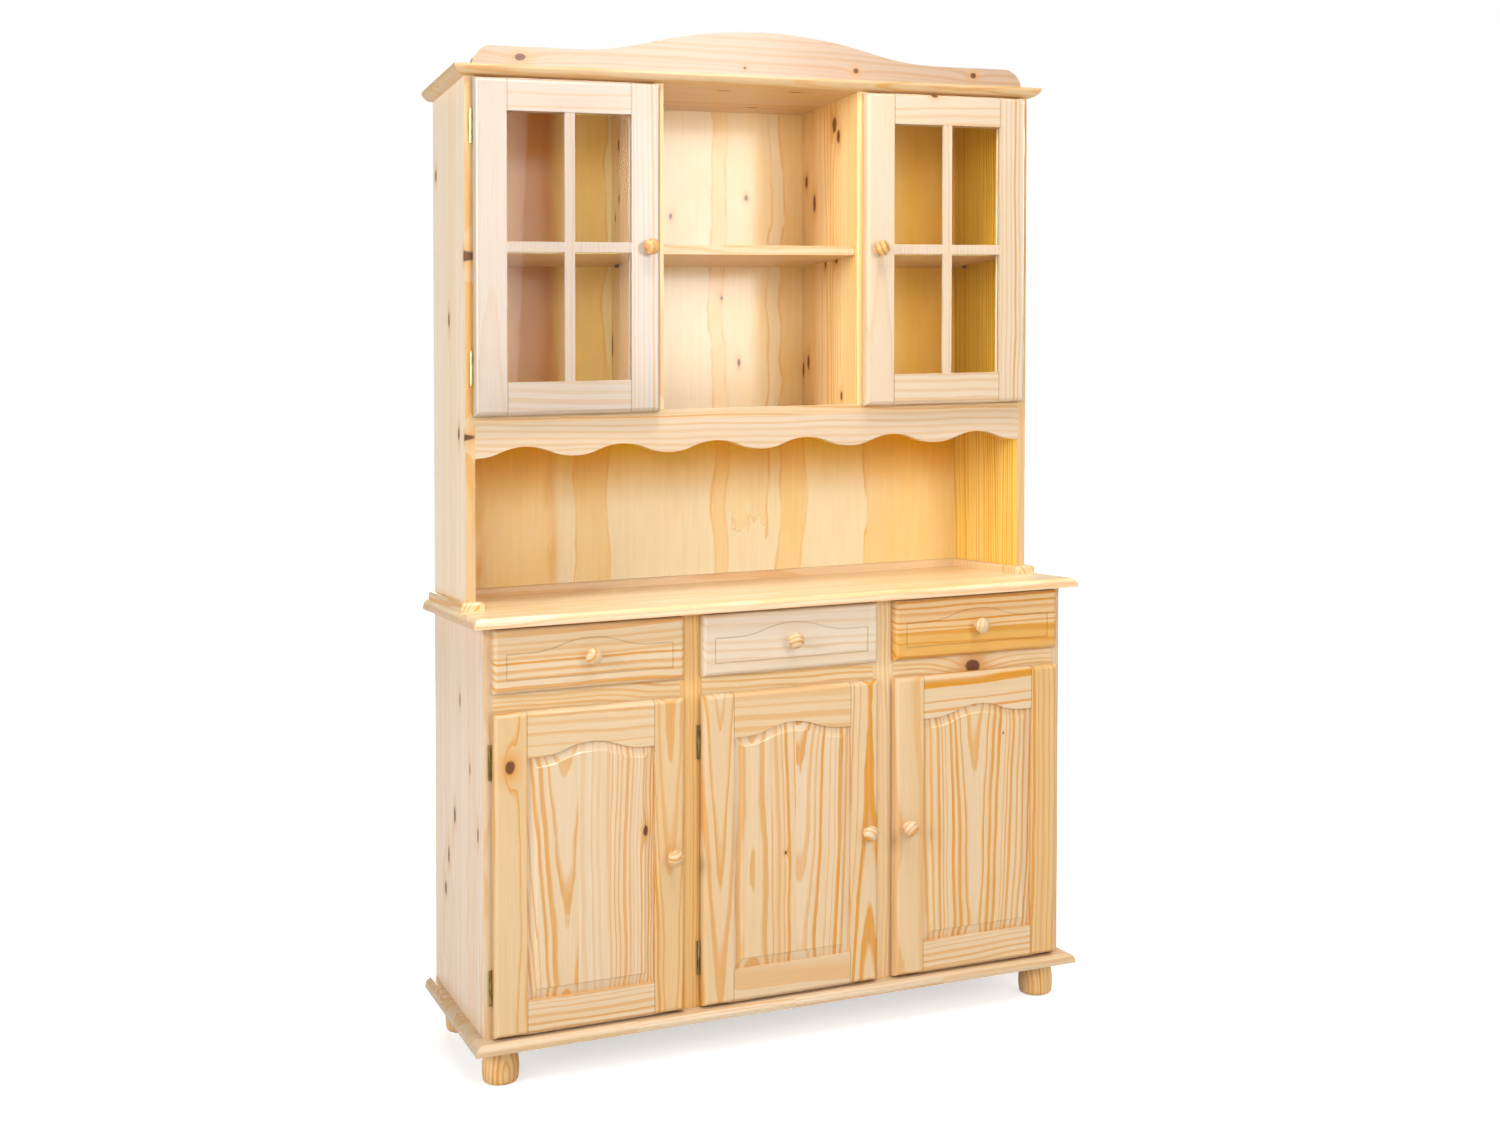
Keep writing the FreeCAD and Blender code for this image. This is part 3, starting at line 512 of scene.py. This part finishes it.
# Painted light: the left of the right bay is paler.
right_bay_light = closed * (x > bay_edge) * (1.0 - graph.rise(x, 0.32, 0.46))
colour = graph.mix(right_bay_light * 0.9, colour, srgb(255, 247, 232))
for bay_shade, turn in ((left_bay_shade, -1.0), (right_bay_shade, 1.0)):
    behind_glass = closed * ((x * turn) > bay_edge)
    colour = graph.mix(behind_glass, colour, bay_shade, blend="MULTIPLY")
apron_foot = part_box("scalloped_apron")[0].z
# Painted shade: amber on the open bay's back just below the apron.
shaded = graph.rise(z, apron_foot - 0.12, apron_foot + 0.02) * (front - closed)
colour = graph.mix(shaded, colour, srgb(248, 208, 30), blend="MULTIPLY")
dress("hutch_back_panel", lacquered(graph, material, colour, height, coat=1.0))

# Battens and shelves inside the base: each shelf is a glued-up board that lies loose on two
# battens of square pine screwed to the walls of its bay.
shelf_low, shelf_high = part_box("base_shelves")
dress("base_shelves", pine("base_shelf_pine", "xyz", shelf_high.z,
                           glued_strips(shelf_low.y, shelf_high.y, 5, seed=14)))
dress("base_shelf_battens", pine("batten_pine", "yzx", 0.0, [Strip(0.0, 0.30, 0.0, 0.01, 0.006, 0.5)]))

# Posts of the face frame, one in front of each partition, and the rails between them that the
# drawers close against; the right rail has a big dark knot, the left one a swirl near its end.
base_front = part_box("front_posts")[0].y
dress("front_posts", pine("post_pine", "zxy", base_front, [
    Strip(-0.30, -0.30, 0.04, 0.004, 0.009, 0.7, 0.9), Strip(0.0, 0.35, 0.05, 0.004, 0.008, 0.45, 0.4)],
    tints=(srgb(238, 212, 172), srgb(233, 186, 112), srgb(220, 150, 24))))
rail_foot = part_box("drawer_rails")[0].z
dress("drawer_rails", pine("drawer_rail_pine", "xzy", base_front, [
    Strip(rail_foot, rail_foot - 0.06, 0.03, 0.03, 0.009, 0.7, 0.1)],
    [Knot(0.390, 0.667, 0.012, 1.1, 0.9)], wander=0.06,
    tints=(srgb(240, 212, 168), srgb(234, 190, 112), srgb(222, 156, 52))))

# Drawer runners: L-shaped strips of straight-grained pine along the walls of the bays, one under
# each side of a drawer, which slides on them.
dress("drawer_runners", pine("runner_pine", "yzx", 0.0, [Strip(0.0, 0.35, 0.0, 0.01, 0.006, 0.5)]))

# The panelled doors: each has two stiles and two rails, grooved, round an arched panel glued up
# from strips that keep their own figure. The places of flames and knots follow the pictured doors.
door_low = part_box("left_door_stiles")[0]
door_waist = 0.40
panel_tongue = 0.008
door_figures = {
    "left": {
        "stiles": [Strip(-0.569, -0.552, 0.055, 0.006, 0.013, 0.85, 0.55),
                   Strip(-0.390, -0.243, 0.022, -0.035, 0.009, 0.9, 0.6)],
        "stile_knots": [Knot(0.565, -0.5405, 0.0070, 1.5, 1.0)],
        "rails": [Strip(door_low.z, 0.02, 0.05, 0.02, 0.010, 0.7),
                  Strip(door_waist, 0.54, 0.05, 0.03, 0.014, 0.55)],
        "panel": [Strip(-0.520, -0.436, 0.035, -0.05, 0.010, 0.85, 0.2),
                  Strip(-0.416, -0.60, 0.06, 0.004, 0.016, 0.35, 0.1),
                  Strip(-0.358, -0.10, 0.06, 0.004, 0.0078, 0.75, 0.2)],
        "panel_knots": [Knot(0.426, -0.289, 0.0045, 1.9, 0.8)]},
    "middle": {
        "stiles": [Strip(-0.178, -0.146, 0.012, -0.050, 0.017, 1.0, 0.4),
                   Strip(0.0, 0.158, 0.020, 0.045, 0.012, 0.95, 0.35)],
        "stile_knots": [],
        "rails": [Strip(door_low.z, 0.16, 0.10, -0.03, 0.016, 0.5),
                  Strip(door_waist, 0.50, 0.09, 0.02, 0.016, 0.45, 0.35)],
        "panel": [Strip(-0.130, -0.082, 0.030, 0.014, 0.012, 0.75, 0.15),
                  Strip(-0.044, -0.24, 0.05, 0.004, 0.012, 0.85, 0.3),
                  Strip(0.006, 0.012, 0.030, -0.028, 0.0105, 0.9, 0.15)],
        "panel_knots": [Knot(0.354, -0.0145, 0.0022, 1.3)]},
    "right": {
        "stiles": [Strip(0.213, 0.22, 0.09, 0.012, 0.014, 0.6, 0.45),
                   Strip(0.390, 0.74, 0.06, 0.004, 0.012, 0.8, 0.75)],
        "stile_knots": [],
        "rails": [Strip(door_low.z, 0.02, 0.05, -0.02, 0.010, 0.75),
                  Strip(door_waist, 0.69, 0.05, 0.012, 0.020, 1.0)],
        "panel": [Strip(0.264, 0.383, 0.022, -0.028, 0.0115, 1.0, 0.3)],
        "panel_knots": [Knot(0.535, 0.447, 0.0014, 1.3)]},
}
for bay, figure in door_figures.items():
    door = bay + "_door"
    dress(door + "_stiles", pine(door + "_stile_pine", "zxy", door_low.y, figure["stiles"],
                                 figure["stile_knots"]))
    panel_low, panel_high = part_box(door + "_panel")
    dress(door + "_rails", pine(door + "_rail_pine", "xzy", door_low.y, figure["rails"],
                                joints=(panel_low.x + panel_tongue, panel_high.x - panel_tongue)))
    dress(door + "_panel", pine(door + "_panel_pine", "zxy", door_low.y, figure["panel"],
                                figure["panel_knots"], wander=0.038))

# Knobs turned from pine with the grain across the face, so streaks run slantwise over the ball.
# A tenon glues each into its door or drawer front.
deep_tints = (srgb(226, 184, 118), srgb(218, 162, 84), srgb(196, 122, 30))
knob_nodes = [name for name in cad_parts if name.endswith("_knob")]
for number, node in enumerate(sorted(knob_nodes)):
    knob_low, knob_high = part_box(node)
    middle = (knob_low + knob_high) / 2
    material, graph = new_material(node + "_pine")
    coordinates = graph.node("TexCoord", {})
    turn = (0.0, math.radians(25 + 40 * number), 0.0)
    turned = graph.node("Mapping", {"Vector": graph.out(coordinates, "Object"), "Rotation": turn})
    along, depth, across = graph.parts(graph.out(turned, "Vector"))
    spun = Matrix.Rotation(turn[1], 3, "Y") @ middle
    colour, height = pine_colour(graph, (along, across, depth), 0.0, [
        Strip(0.0, spun.z - 0.05, spun.y + 0.02, 0.1, 0.0085, 1.0, 0.2)],
        tints=deep_tints if "glazed" in node else pine_tints, wander=0.01)
    dress(node, lacquered(graph, material, colour, height))


# Butt hinges of brass-plated steel: knuckled leaves on a pin, let in under the edges of the doors.
# Those of the base are painted a dull olive, and those of the hutch brighter as painted reflection.

def brass(name, lower_tints, lit_upper_tints):
    """Cloudy tarnish over brushed metal: slow noise mixes two tints; above the worktop they are painted
    brighter as painted reflection.
    """
    material, graph = new_material(name)
    x, y, z = graph.place()
    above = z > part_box("worktop")[1].z
    lower_base, lower_worn = lower_tints
    lit_upper_base, lit_upper_worn = lit_upper_tints
    # Painted reflection: hinges above the worktop take the brighter tints.
    base = graph.mix(above, lower_base, lit_upper_base)
    worn = graph.mix(above, lower_worn, lit_upper_worn)
    cloud = graph.noise(x * 160.0, y * 160.0, z * 60.0, detail=3.0)
    scratch = graph.noise(x * 900.0, y * 900.0, z * 60.0)
    shader = material.node_tree.nodes["Principled BSDF"]
    graph.put(shader.inputs["Base Color"], graph.mix(graph.rise(cloud, -0.15, 0.15), base, worn))
    graph.put(shader.inputs["Roughness"], 0.38 + cloud * 0.3)
    felt = graph.node("Bump", {"Height": scratch, "Strength": 0.2, "Distance": 0.0002})
    graph.put(shader.inputs["Normal"], graph.out(felt, "Normal"))
    shader.inputs["Metallic"].default_value = 1.0
    return material


hinge_brass = brass("hinge_brass", (srgb(118, 102, 56), srgb(172, 152, 96)),
                    (srgb(208, 184, 122), srgb(238, 220, 170)))
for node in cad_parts:
    if "hinge" in node:
        dress(node, hinge_brass)

# Drawer fronts: solid boards with a round-over and a routed line, the grain running across; the line
# is darkened as painted shade. The boxes behind them are pine sides and back round a plywood bottom.
box_wall = 0.013
drawer_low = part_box("left_drawer_front")[0]
drawer_figures = {
    "left": ([Strip(drawer_low.z, 0.640, 0.045, 0.004, 0.0115, 0.95, 0.2),
              Strip(0.752, 0.93, 0.03, 0.02, 0.014, 0.5, 0.25)], pine_tints),
    "middle": ([Strip(drawer_low.z, 0.66, 0.10, 0.015, 0.013, 0.40, 0.05)],
               (srgb(225, 205, 180), srgb(220, 190, 151), srgb(212, 161, 90))),
    "right": ([Strip(drawer_low.z, 0.66, 0.05, 0.015, 0.018, 1.0, 0.8),
               Strip(0.745, 0.60, 0.05, -0.015, 0.012, 1.0, 0.35)],
              (srgb(228, 195, 150), srgb(223, 167, 80), srgb(211, 137, 24))),
}
groove_painted_shade = 0.17
line_border = 0.016


def routed(graph, node, along, across, depth):
    """One in the routed line of a drawer front, nought on its face, on its round-over and behind."""
    low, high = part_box(node)
    inside_x = abs(along - (low.x + high.x) / 2) < (high.x - low.x) / 2 - line_border
    inside_z = abs(across - (low.z + high.z) / 2) < (high.z - low.z) / 2 - line_border
    sunk = graph.rise(depth, 0.0001, 0.0006) * (1.0 - graph.rise(depth, 0.0015, 0.0020))
    return inside_x * inside_z * sunk


for bay, (strips, tints) in drawer_figures.items():
    drawer = bay + "_drawer"
    material, graph = new_material(drawer + "_front_pine")
    along, across, depth, end_face = board_point(graph, "xzy", drawer_low.y)
    colour, height = pine_colour(graph, (along, across, depth), end_face, strips, tints=tints)
    # Painted shade: the routed line is darkened.
    line = routed(graph, drawer + "_front", along, across, depth)
    colour = graph.scaled(colour, 1.0 - line * groove_painted_shade)
    dress(drawer + "_front", lacquered(graph, material, colour, height))
    box_low, box_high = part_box(drawer + "_box")
    material, graph = new_material(drawer + "_box_pine")
    x, y, z = graph.place()
    cross = abs(x - (box_low.x + box_high.x) / 2) < (box_high.x - box_low.x) / 2 - box_wall
    along = y + cross * (x - y)
    across = z + (x + y) * 0.3
    colour, height = pine_colour(graph, (along, across, 0.0), 0.0, [
        Strip(0.0, 0.45, 0.02, 0.01, 0.007, 0.5)])
    dress(drawer + "_box", lacquered(graph, material, colour, height))

# The worktop: a broad glued-up board lying on the base, its front and ends rounded to a nose that
# stands out over the drawers. The nose shows more of the rings; the top is painted paler than the
# nose, as painted light from above with its sheen.
top_low, top_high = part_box("worktop")
lit_top_tints = (srgb(253, 232, 194), srgb(251, 218, 156), srgb(236, 174, 80))
nose_tints = (srgb(240, 206, 170), srgb(238, 194, 140), srgb(226, 158, 84))
material, graph = new_material("worktop_pine")
along, across, depth, end_face = board_point(graph, "xyz", top_high.z)
worktop_strips = glued_strips(top_low.y, top_high.y, 7, seed=21, contrast=0.45, warmth=0.3)
# Painted light: the top takes paler tints than the nose.
colour, height = pine_colour(graph, (along, across, depth), end_face, worktop_strips,
                             tints=broad_and_edge(graph, lit_top_tints, nose_tints, 2))
dress("worktop", lacquered(graph, material, colour, height))

# Foot strips that the hutch stands on: three rounded lengths of pine on the worktop, two running
# front to back under the sides and one along the back between them.
strip_low, strip_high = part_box("hutch_foot_strips")
strip_width = 0.034
material, graph = new_material("foot_strip_pine")
x, y, z = graph.place()
behind = abs(x) < strip_high.x - strip_width
along = y + behind * (x - y)
across = x + behind * (y - x)
colour, height = pine_colour(graph, (along, across, z - strip_high.z), 0.0, [
    Strip(strip_low.x, strip_low.x + 0.06, -0.04, 0.01, 0.011, 0.9, 0.3),
    Strip(0.0, strip_high.y + 0.05, -0.03, 0.01, 0.009, 0.4, 0.2),
    Strip(strip_high.x - strip_width, strip_high.x - 0.09, -0.05, 0.01, 0.010, 0.8, 0.3)],
    tints=(srgb(242, 216, 178), srgb(238, 196, 130), srgb(226, 156, 54)))
dress("hutch_foot_strips", lacquered(graph, material, colour, height))

# Hutch sides: edge-glued boards as the base sides, pale and knotty outside; their inner faces are
# painted golden as bounce light, and darker as painted shade behind the glass. They stand on the
# foot strips and are rebated for the back panel.
bounce_light_tints = (srgb(252, 224, 140), srgb(248, 205, 70), srgb(218, 148, 10))
hutch_low, hutch_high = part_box("hutch_sides")
hutch_side_knots = [Knot(along, across + pair_gap, radius, stretch) for along, across, radius, stretch in (
    (1.650, 0.195, 0.0045, 2.0), (1.472, -0.040, 0.0065, 1.4), (1.365, 0.087, 0.0045, 2.6),
    (1.151, 0.008, 0.005, 2.0), (1.144, -0.040, 0.005, 1.2))]
side_strips = glued_strips(hutch_low.y, hutch_high.y, 4, seed=23, contrast=0.75, spacing=0.0075,
                           warmth=0.5, taper=0.02)
side_strips += glued_strips(hutch_low.y + pair_gap, hutch_high.y + pair_gap, 4, seed=24, contrast=0.5,
                            spacing=0.0062, warmth=0.15, taper=0.012)
material, graph = new_material("hutch_side_pine")
along, across, depth, end_face = board_point(graph, "zyx", hutch_high.x, paired=True)
within = graph.place()[0] * graph.facing()[0] < -hutch_high.x / 2
side_tints = (srgb(254, 237, 213), srgb(252, 222, 180), srgb(241, 191, 124))
outer_tints = broad_and_edge(graph, side_tints, pine_tints, 0)
# Painted bounce light: the inner faces take the golden tints.
board_tints = [graph.mix(within, outer, inner) for outer, inner in zip(outer_tints, bounce_light_tints)]
colour, height = pine_colour(graph, (along, across, depth), end_face, side_strips, hutch_side_knots,
                             board_tints)
# Painted shade: the inner faces are darker behind the glass.
behind_glass = within * (along > bay_floor)
colour = graph.mix(behind_glass, colour, srgb(230, 216, 140), blend="MULTIPLY")
dress("hutch_sides", lacquered(graph, material, colour, height, coat=0.3))

# Hutch partitions beside the open bay: knotty boards, the right one with a row of tall dark knots,
# the left one with thin cracks beside the back panel.
inner_tints = (srgb(252, 232, 190), srgb(248, 208, 130), srgb(228, 155, 36))
partition_knots = [
    Knot(1.749, 0.060, 0.0080, 1.7), Knot(1.723, 0.041, 0.0060, 1.9), Knot(1.653, 0.195, 0.0050, 2.2),
    Knot(1.604, 0.155, 0.0055, 2.8), Knot(1.480, 0.049, 0.0060, 1.5), Knot(1.477, 0.101, 0.003, 3.5),
    Knot(1.277, 0.184, 0.0045, 2.8), Knot(1.262, 0.209, 0.0035, 4.0), Knot(1.202, 0.024, 0.004, 2.0)] + [
    Knot(along, across + pair_gap, radius, stretch) for along, across, radius, stretch in (
        (1.715, 0.172, 0.003, 3.0), (1.608, 0.169, 0.0025, 2.5), (1.572, 0.193, 0.002, 3.5),
        (1.318, 0.212, 0.003, 6.0), (1.480, 0.154, 0.003, 1.6))]
partition_strips = glued_strips(hutch_low.y, hutch_high.y, 4, seed=25, contrast=0.6, warmth=0.55)
partition_strips += glued_strips(hutch_low.y + pair_gap, hutch_high.y + pair_gap, 3, seed=26, contrast=0.5,
                                 warmth=0.5)
dress("hutch_partitions", pine("hutch_partition_pine", "zyx", bay_edge, partition_strips, partition_knots,
                               paired=True, tints=inner_tints))

# Bottom board of the hutch and its shelves, all edge-glued pine. The open bay's shelf is housed in
# the partitions, and dull steel pins in drilled holes carry the others.
bottom_low, bottom_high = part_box("hutch_bottom_board")
dress("hutch_bottom_board", pine("bottom_board_pine", "xyz", bottom_high.z,
                                 glued_strips(bottom_low.y, bottom_high.y, 4, seed=27)))
dress("hutch_shelves", pine("hutch_shelf_pine", "xyz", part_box("hutch_shelves")[1].z,
                            glued_strips(bottom_low.y, bottom_high.y, 4, seed=28)))

material, graph = new_material("shelf_pin_steel")
x, y, z = graph.place()
turning = graph.noise(x * 2500.0, y * 40.0, z * 40.0)
cloud = graph.noise(x * 300.0, y * 300.0, z * 300.0, detail=2.0)
shader = material.node_tree.nodes["Principled BSDF"]
graph.put(shader.inputs["Base Color"], graph.mix(graph.rise(cloud, -0.2, 0.2), srgb(120, 116, 108),
                                                 srgb(158, 154, 146)))
graph.put(shader.inputs["Roughness"], 0.40 + turning * 0.3)
shader.inputs["Metallic"].default_value = 1.0
dress("shelf_pegs", material)

# The scalloped apron is sawn from one board, the grain running across the cabinet, and is glued
# under the front edge of the bottom board.
pale_tints = (srgb(222, 200, 174), srgb(218, 186, 142), srgb(210, 156, 86))
apron_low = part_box("scalloped_apron")[0]
dress("scalloped_apron", pine("apron_pine", "xzy", apron_low.y, [
    Strip(apron_low.z, apron_low.z - 0.03, 0.05, 0.012, 0.010, 0.5, 0.3)], tints=pale_tints))

# Cornice board, moulded underneath along its front and ends, which lies on the sides and closes
# the bays; the crest board, sawn to a curve, stands on it.
cornice_low, cornice_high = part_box("cornice_board")
cornice_strips = glued_strips(cornice_low.y, cornice_high.y, 4, seed=31, warmth=0.4)
cornice_knots = [Knot(-0.063, 0.001, 0.003, 4.0), Knot(0.085, -0.010, 0.003, 4.5),
                 Knot(0.061, 0.156, 0.003, 4.0)]
dress("cornice_board", pine("cornice_pine", "xyz", cornice_low.z, cornice_strips, cornice_knots))
crest_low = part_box("crest_board")[0]
dress("crest_board", pine("crest_pine", "xzy", crest_low.y, [
    Strip(crest_low.z, crest_low.z - 0.10, 0.06, 0.010, 0.009, 0.35, 0.2)],
    [Knot(-0.479, 1.833, 0.0055, 1.6), Knot(0.198, 1.836, 0.0042), Knot(0.459, 1.837, 0.0046),
     Knot(-0.037, 1.832, 0.0022)],
    tints=(srgb(200, 174, 150), srgb(196, 159, 120), srgb(185, 129, 69)), coat=1.0))

# The glazed doors of the hutch: frames of pale pine, their stiles and rails grooved for the pane,
# with an upright and a cross glazing bar in front of the glass.
pane_tongue = 0.008
glazed_rail_knots = {"left": [], "right": [Knot(0.362, 1.7905, 0.004, 1.5)]}
# The left frame is painted darker than the right as painted shade, offsetting the lamps' sheen on it.
frame_tints_with_painted_shade = {"left": ((srgb(198, 180, 163), srgb(194, 168, 138), srgb(192, 147, 93)), 1.0),
                 "right": (pale_tints, 0.4)}
for bay, (tints, coat) in frame_tints_with_painted_shade.items():
    door = bay + "_glazed_door"
    low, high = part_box(door + "_stiles")
    middle_x = (low.x + high.x) / 2
    stile_strips = [Strip(low.x, low.x + 0.03, 0.05, 0.030, 0.020, 0.35, 0.2),
                    Strip(middle_x, high.x + 0.16, 0.04, 0.004, 0.0095, 0.85, 0.1)]
    middle_z = (low.z + high.z) / 2
    rail_strips = [Strip(low.z, low.z - 0.05, 0.05, 0.02, 0.013, 0.55, 0.15),
                   Strip(middle_z, high.z + 0.04, 0.05, 0.02, 0.016, 0.55, 0.15)]
    dress(door + "_stiles", pine(door + "_stile_pine", "zxy", low.y, stile_strips, tints=tints, coat=coat))
    pane_low, pane_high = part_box(door + "_glass")
    dress(door + "_rails", pine(door + "_rail_pine", "xzy", low.y, rail_strips, glazed_rail_knots[bay],
                                tints=tints, coat=coat,
                                joints=(pane_low.x + pane_tongue, pane_high.x - pane_tongue)))
    dress(door + "_bars", pine(door + "_bar_pine", "zxy", low.y, [
        Strip(low.x, low.x - 0.2, 0.04, 0.004, 0.008, 0.35, 0.1)], tints=tints))


# Panes of clear sheet glass in the grooves of the glazed doors, one sheet to a door, with the faint
# waviness of drawn glass.

def clear_glass(name):
    """Clear transmission; lamps shine straight through, and slow noise makes the faces waver."""
    material, graph = new_material(name)
    shader = material.node_tree.nodes["Principled BSDF"]
    x, y, z = graph.place()
    waver = graph.node("Bump", {"Height": graph.noise(x * 9.0, y, z * 6.0), "Strength": 0.03,
                                "Distance": 0.002})
    graph.put(shader.inputs["Normal"], graph.out(waver, "Normal"))
    shader.inputs["Base Color"].default_value = srgb(247, 251, 248)
    shader.inputs["Roughness"].default_value = 0.0
    shader.inputs["IOR"].default_value = 1.15
    shader.inputs["Transmission Weight"].default_value = 1.0
    clear = graph.node("BsdfTransparent", {"Color": srgb(250, 252, 250)})
    light_path = graph.node("LightPath", {})
    either = graph.node("MixShader", {0: graph.out(light_path, "Is Shadow Ray"),
                                      1: graph.out(shader, "BSDF"), 2: graph.out(clear, "BSDF")})
    leave = material.node_tree.nodes["Material Output"]
    graph.put(leave.inputs["Surface"], graph.out(either, "Shader"))
    return material


pane_glass = clear_glass("pane_glass")
for door in ("left_glazed_door", "right_glazed_door"):
    dress(door + "_glass", pane_glass)


# Studio: a plain white floor that keeps the dresser's shadow, and white all round. Where the floor
# and the world are looked at, straight or through glass, they are lifted to white, and gloss sees
# them dimmer. The floor is lifted more far away, where the lamps fall off.

def flat_sheet(name, half_size, height):
    """Level square sheet: its two parameters run from minus to plus half_size."""
    steps = np.linspace(-half_size, half_size, 2)
    across, along = np.meshgrid(steps, steps)
    points = np.stack([across.ravel(), along.ravel(), np.full(across.size, height)], axis=1)
    mesh = bpy.data.meshes.new(name)
    mesh.from_pydata(points.tolist(), [], [(0, 1, 3, 2)])
    sheet = bpy.data.objects.new(name, mesh)
    bpy.context.scene.collection.objects.link(sheet)
    return sheet


def looked_at(graph):
    """1 for rays from the camera and through glass, less for those in reflections, 0 for lighting."""
    light_path = graph.node("LightPath", {})
    straight = graph.out(light_path, "Is Camera Ray")
    through = graph.math("MAXIMUM", straight, graph.out(light_path, "Is Transmission Ray"))
    return graph.math("MAXIMUM", through, graph.out(light_path, "Is Glossy Ray") * glossy_share)


glossy_share = 0.25
floor = flat_sheet("studio_floor", 30.0, 0.0)
near_lift = 0.60
far_lift = 0.82
material, graph = new_material("floor_white")
x, y, z = graph.place()
away = (x * x + y * y) ** 0.5
floor_lift = graph.rise(away, 0.9, 2.6) * (far_lift - near_lift) + near_lift
floor_shader = material.node_tree.nodes["Principled BSDF"]
floor_shader.inputs["Base Color"].default_value = srgb(212, 212, 212)
floor_shader.inputs["Roughness"].default_value = 0.9
floor_shader.inputs["Specular IOR Level"].default_value = 0.0
floor_shader.inputs["Emission Color"].default_value = (1.0, 1.0, 1.0, 1.0)
graph.put(floor_shader.inputs["Emission Strength"], looked_at(graph) * floor_lift)
floor.data.materials.append(material)

world = bpy.data.worlds.new("studio_white")
bpy.context.scene.world = world
world.use_nodes = True
graph = Graph(world.node_tree)
sky_strength = 0.07
background = world.node_tree.nodes["Background"]
background.inputs["Color"].default_value = (1.0, 1.0, 1.0, 1.0)
graph.put(background.inputs["Strength"], looked_at(graph) * (1.0 - sky_strength) + sky_strength)


# Lamps: a broad soft one behind the camera, one for each side and one for the back, three in front
# on the right, whose sheen lies on the doors, the open bay and the crest, one over the worktop, and
# a high soft sun that lays the shadow on the floor.

def softbox(name, place, target, size, brightness):
    """Soft rectangle of an even brightness, where 1 is as bright as white paper in the scene's light."""
    lamp = bpy.data.lights.new(name, "AREA")
    lamp.shape = "RECTANGLE"
    lamp.size, lamp.size_y = size
    lamp.energy = brightness * math.pi * size[0] * size[1]
    box = bpy.data.objects.new(name, lamp)
    box.location = place
    box.rotation_mode = "QUATERNION"
    box.rotation_quaternion = (Vector(target) - Vector(place)).to_track_quat("-Z", "Y")
    bpy.context.scene.collection.objects.link(box)


def soft_sun(name, direction, strength, spread):
    """Light from far away along a direction, its edge softened by the spread in degrees."""
    lamp = bpy.data.lights.new(name, "SUN")
    lamp.energy = strength
    lamp.angle = math.radians(spread)
    sun = bpy.data.objects.new(name, lamp)
    sun.rotation_mode = "QUATERNION"
    sun.rotation_quaternion = Vector(direction).to_track_quat("-Z", "Y")
    bpy.context.scene.collection.objects.link(sun)


softbox("key_softbox", (-2.5, -4.5, 2.4), (0.0, 0.0, 1.2), (1.4, 1.6), 6.1)
softbox("left_softbox", (-4.5, -1.9, 2.3), (0.0, 0.0, 1.2), (1.8, 2.0), 12.0)
softbox("sheen_softbox", (1.17, -3.05, 1.83), (0.2, 0.0, 1.2), (0.90, 1.05), 8.8)
softbox("strip_softbox", (0.22, -3.05, 1.83), (0.22, 0.0, 1.4), (0.22, 1.05), 7.4)
softbox("crest_softbox", (0.8, -3.05, 2.65), (0.0, 0.0, 1.6), (1.1, 0.5), 5.3)
softbox("glint_softbox", (-0.25, -0.80, 2.75), (-0.2, -0.15, 0.9), (0.5, 0.25), 30.0)
softbox("right_softbox", (4.3, 1.3, 2.5), (0.0, 0.0, 1.0), (1.8, 2.0), 9.0)
softbox("back_softbox", (0.6, 4.6, 2.6), (0.0, 0.0, 1.0), (1.8, 2.0), 9.0)
soft_sun("high_sun", (-0.1, 0.3, -0.95), 1.1, 40.0)

# Camera where the pictured view was taken from, found by fitting the cabinet's corners. The picture
# was levelled by sliding its upright columns, a little more with each one to the right. The camera's
# stand carries the same slide, as a slant of the picture's level axis.
photo_width = 1500.0
photo_height = 1125.0
focal_pixels = 1733.66
sight_pixel = (688.05, 472.47)
camera_place = Vector((-1.30595, -3.12411, 1.15335))
yaw = math.radians(20.523)
pitch = math.radians(-1.562)
column_slide = -0.0318

forward = Vector((math.sin(yaw) * math.cos(pitch), math.cos(yaw) * math.cos(pitch), math.sin(pitch)))
right = Vector((math.cos(yaw), -math.sin(yaw), 0.0))
up = right.cross(forward)
slanted = Matrix((right + up * column_slide, up, -forward)).transposed().to_4x4()
lens = bpy.data.cameras.new("photo_camera")
lens.sensor_width = 36.0
lens.lens = focal_pixels / photo_width * lens.sensor_width
lens.shift_x = (photo_width / 2 - sight_pixel[0]) / photo_width
lens.shift_y = (sight_pixel[1] - photo_height / 2) / photo_width
camera = bpy.data.objects.new("photo_camera", lens)
stand = bpy.data.objects.new("camera_stand", None)
camera.parent = stand
camera.matrix_parent_inverse = Matrix.Translation(camera_place) @ slanted
bpy.context.scene.collection.objects.link(stand)
bpy.context.scene.collection.objects.link(camera)
bpy.context.scene.camera = camera
bpy.context.scene.view_settings.view_transform = "Standard"
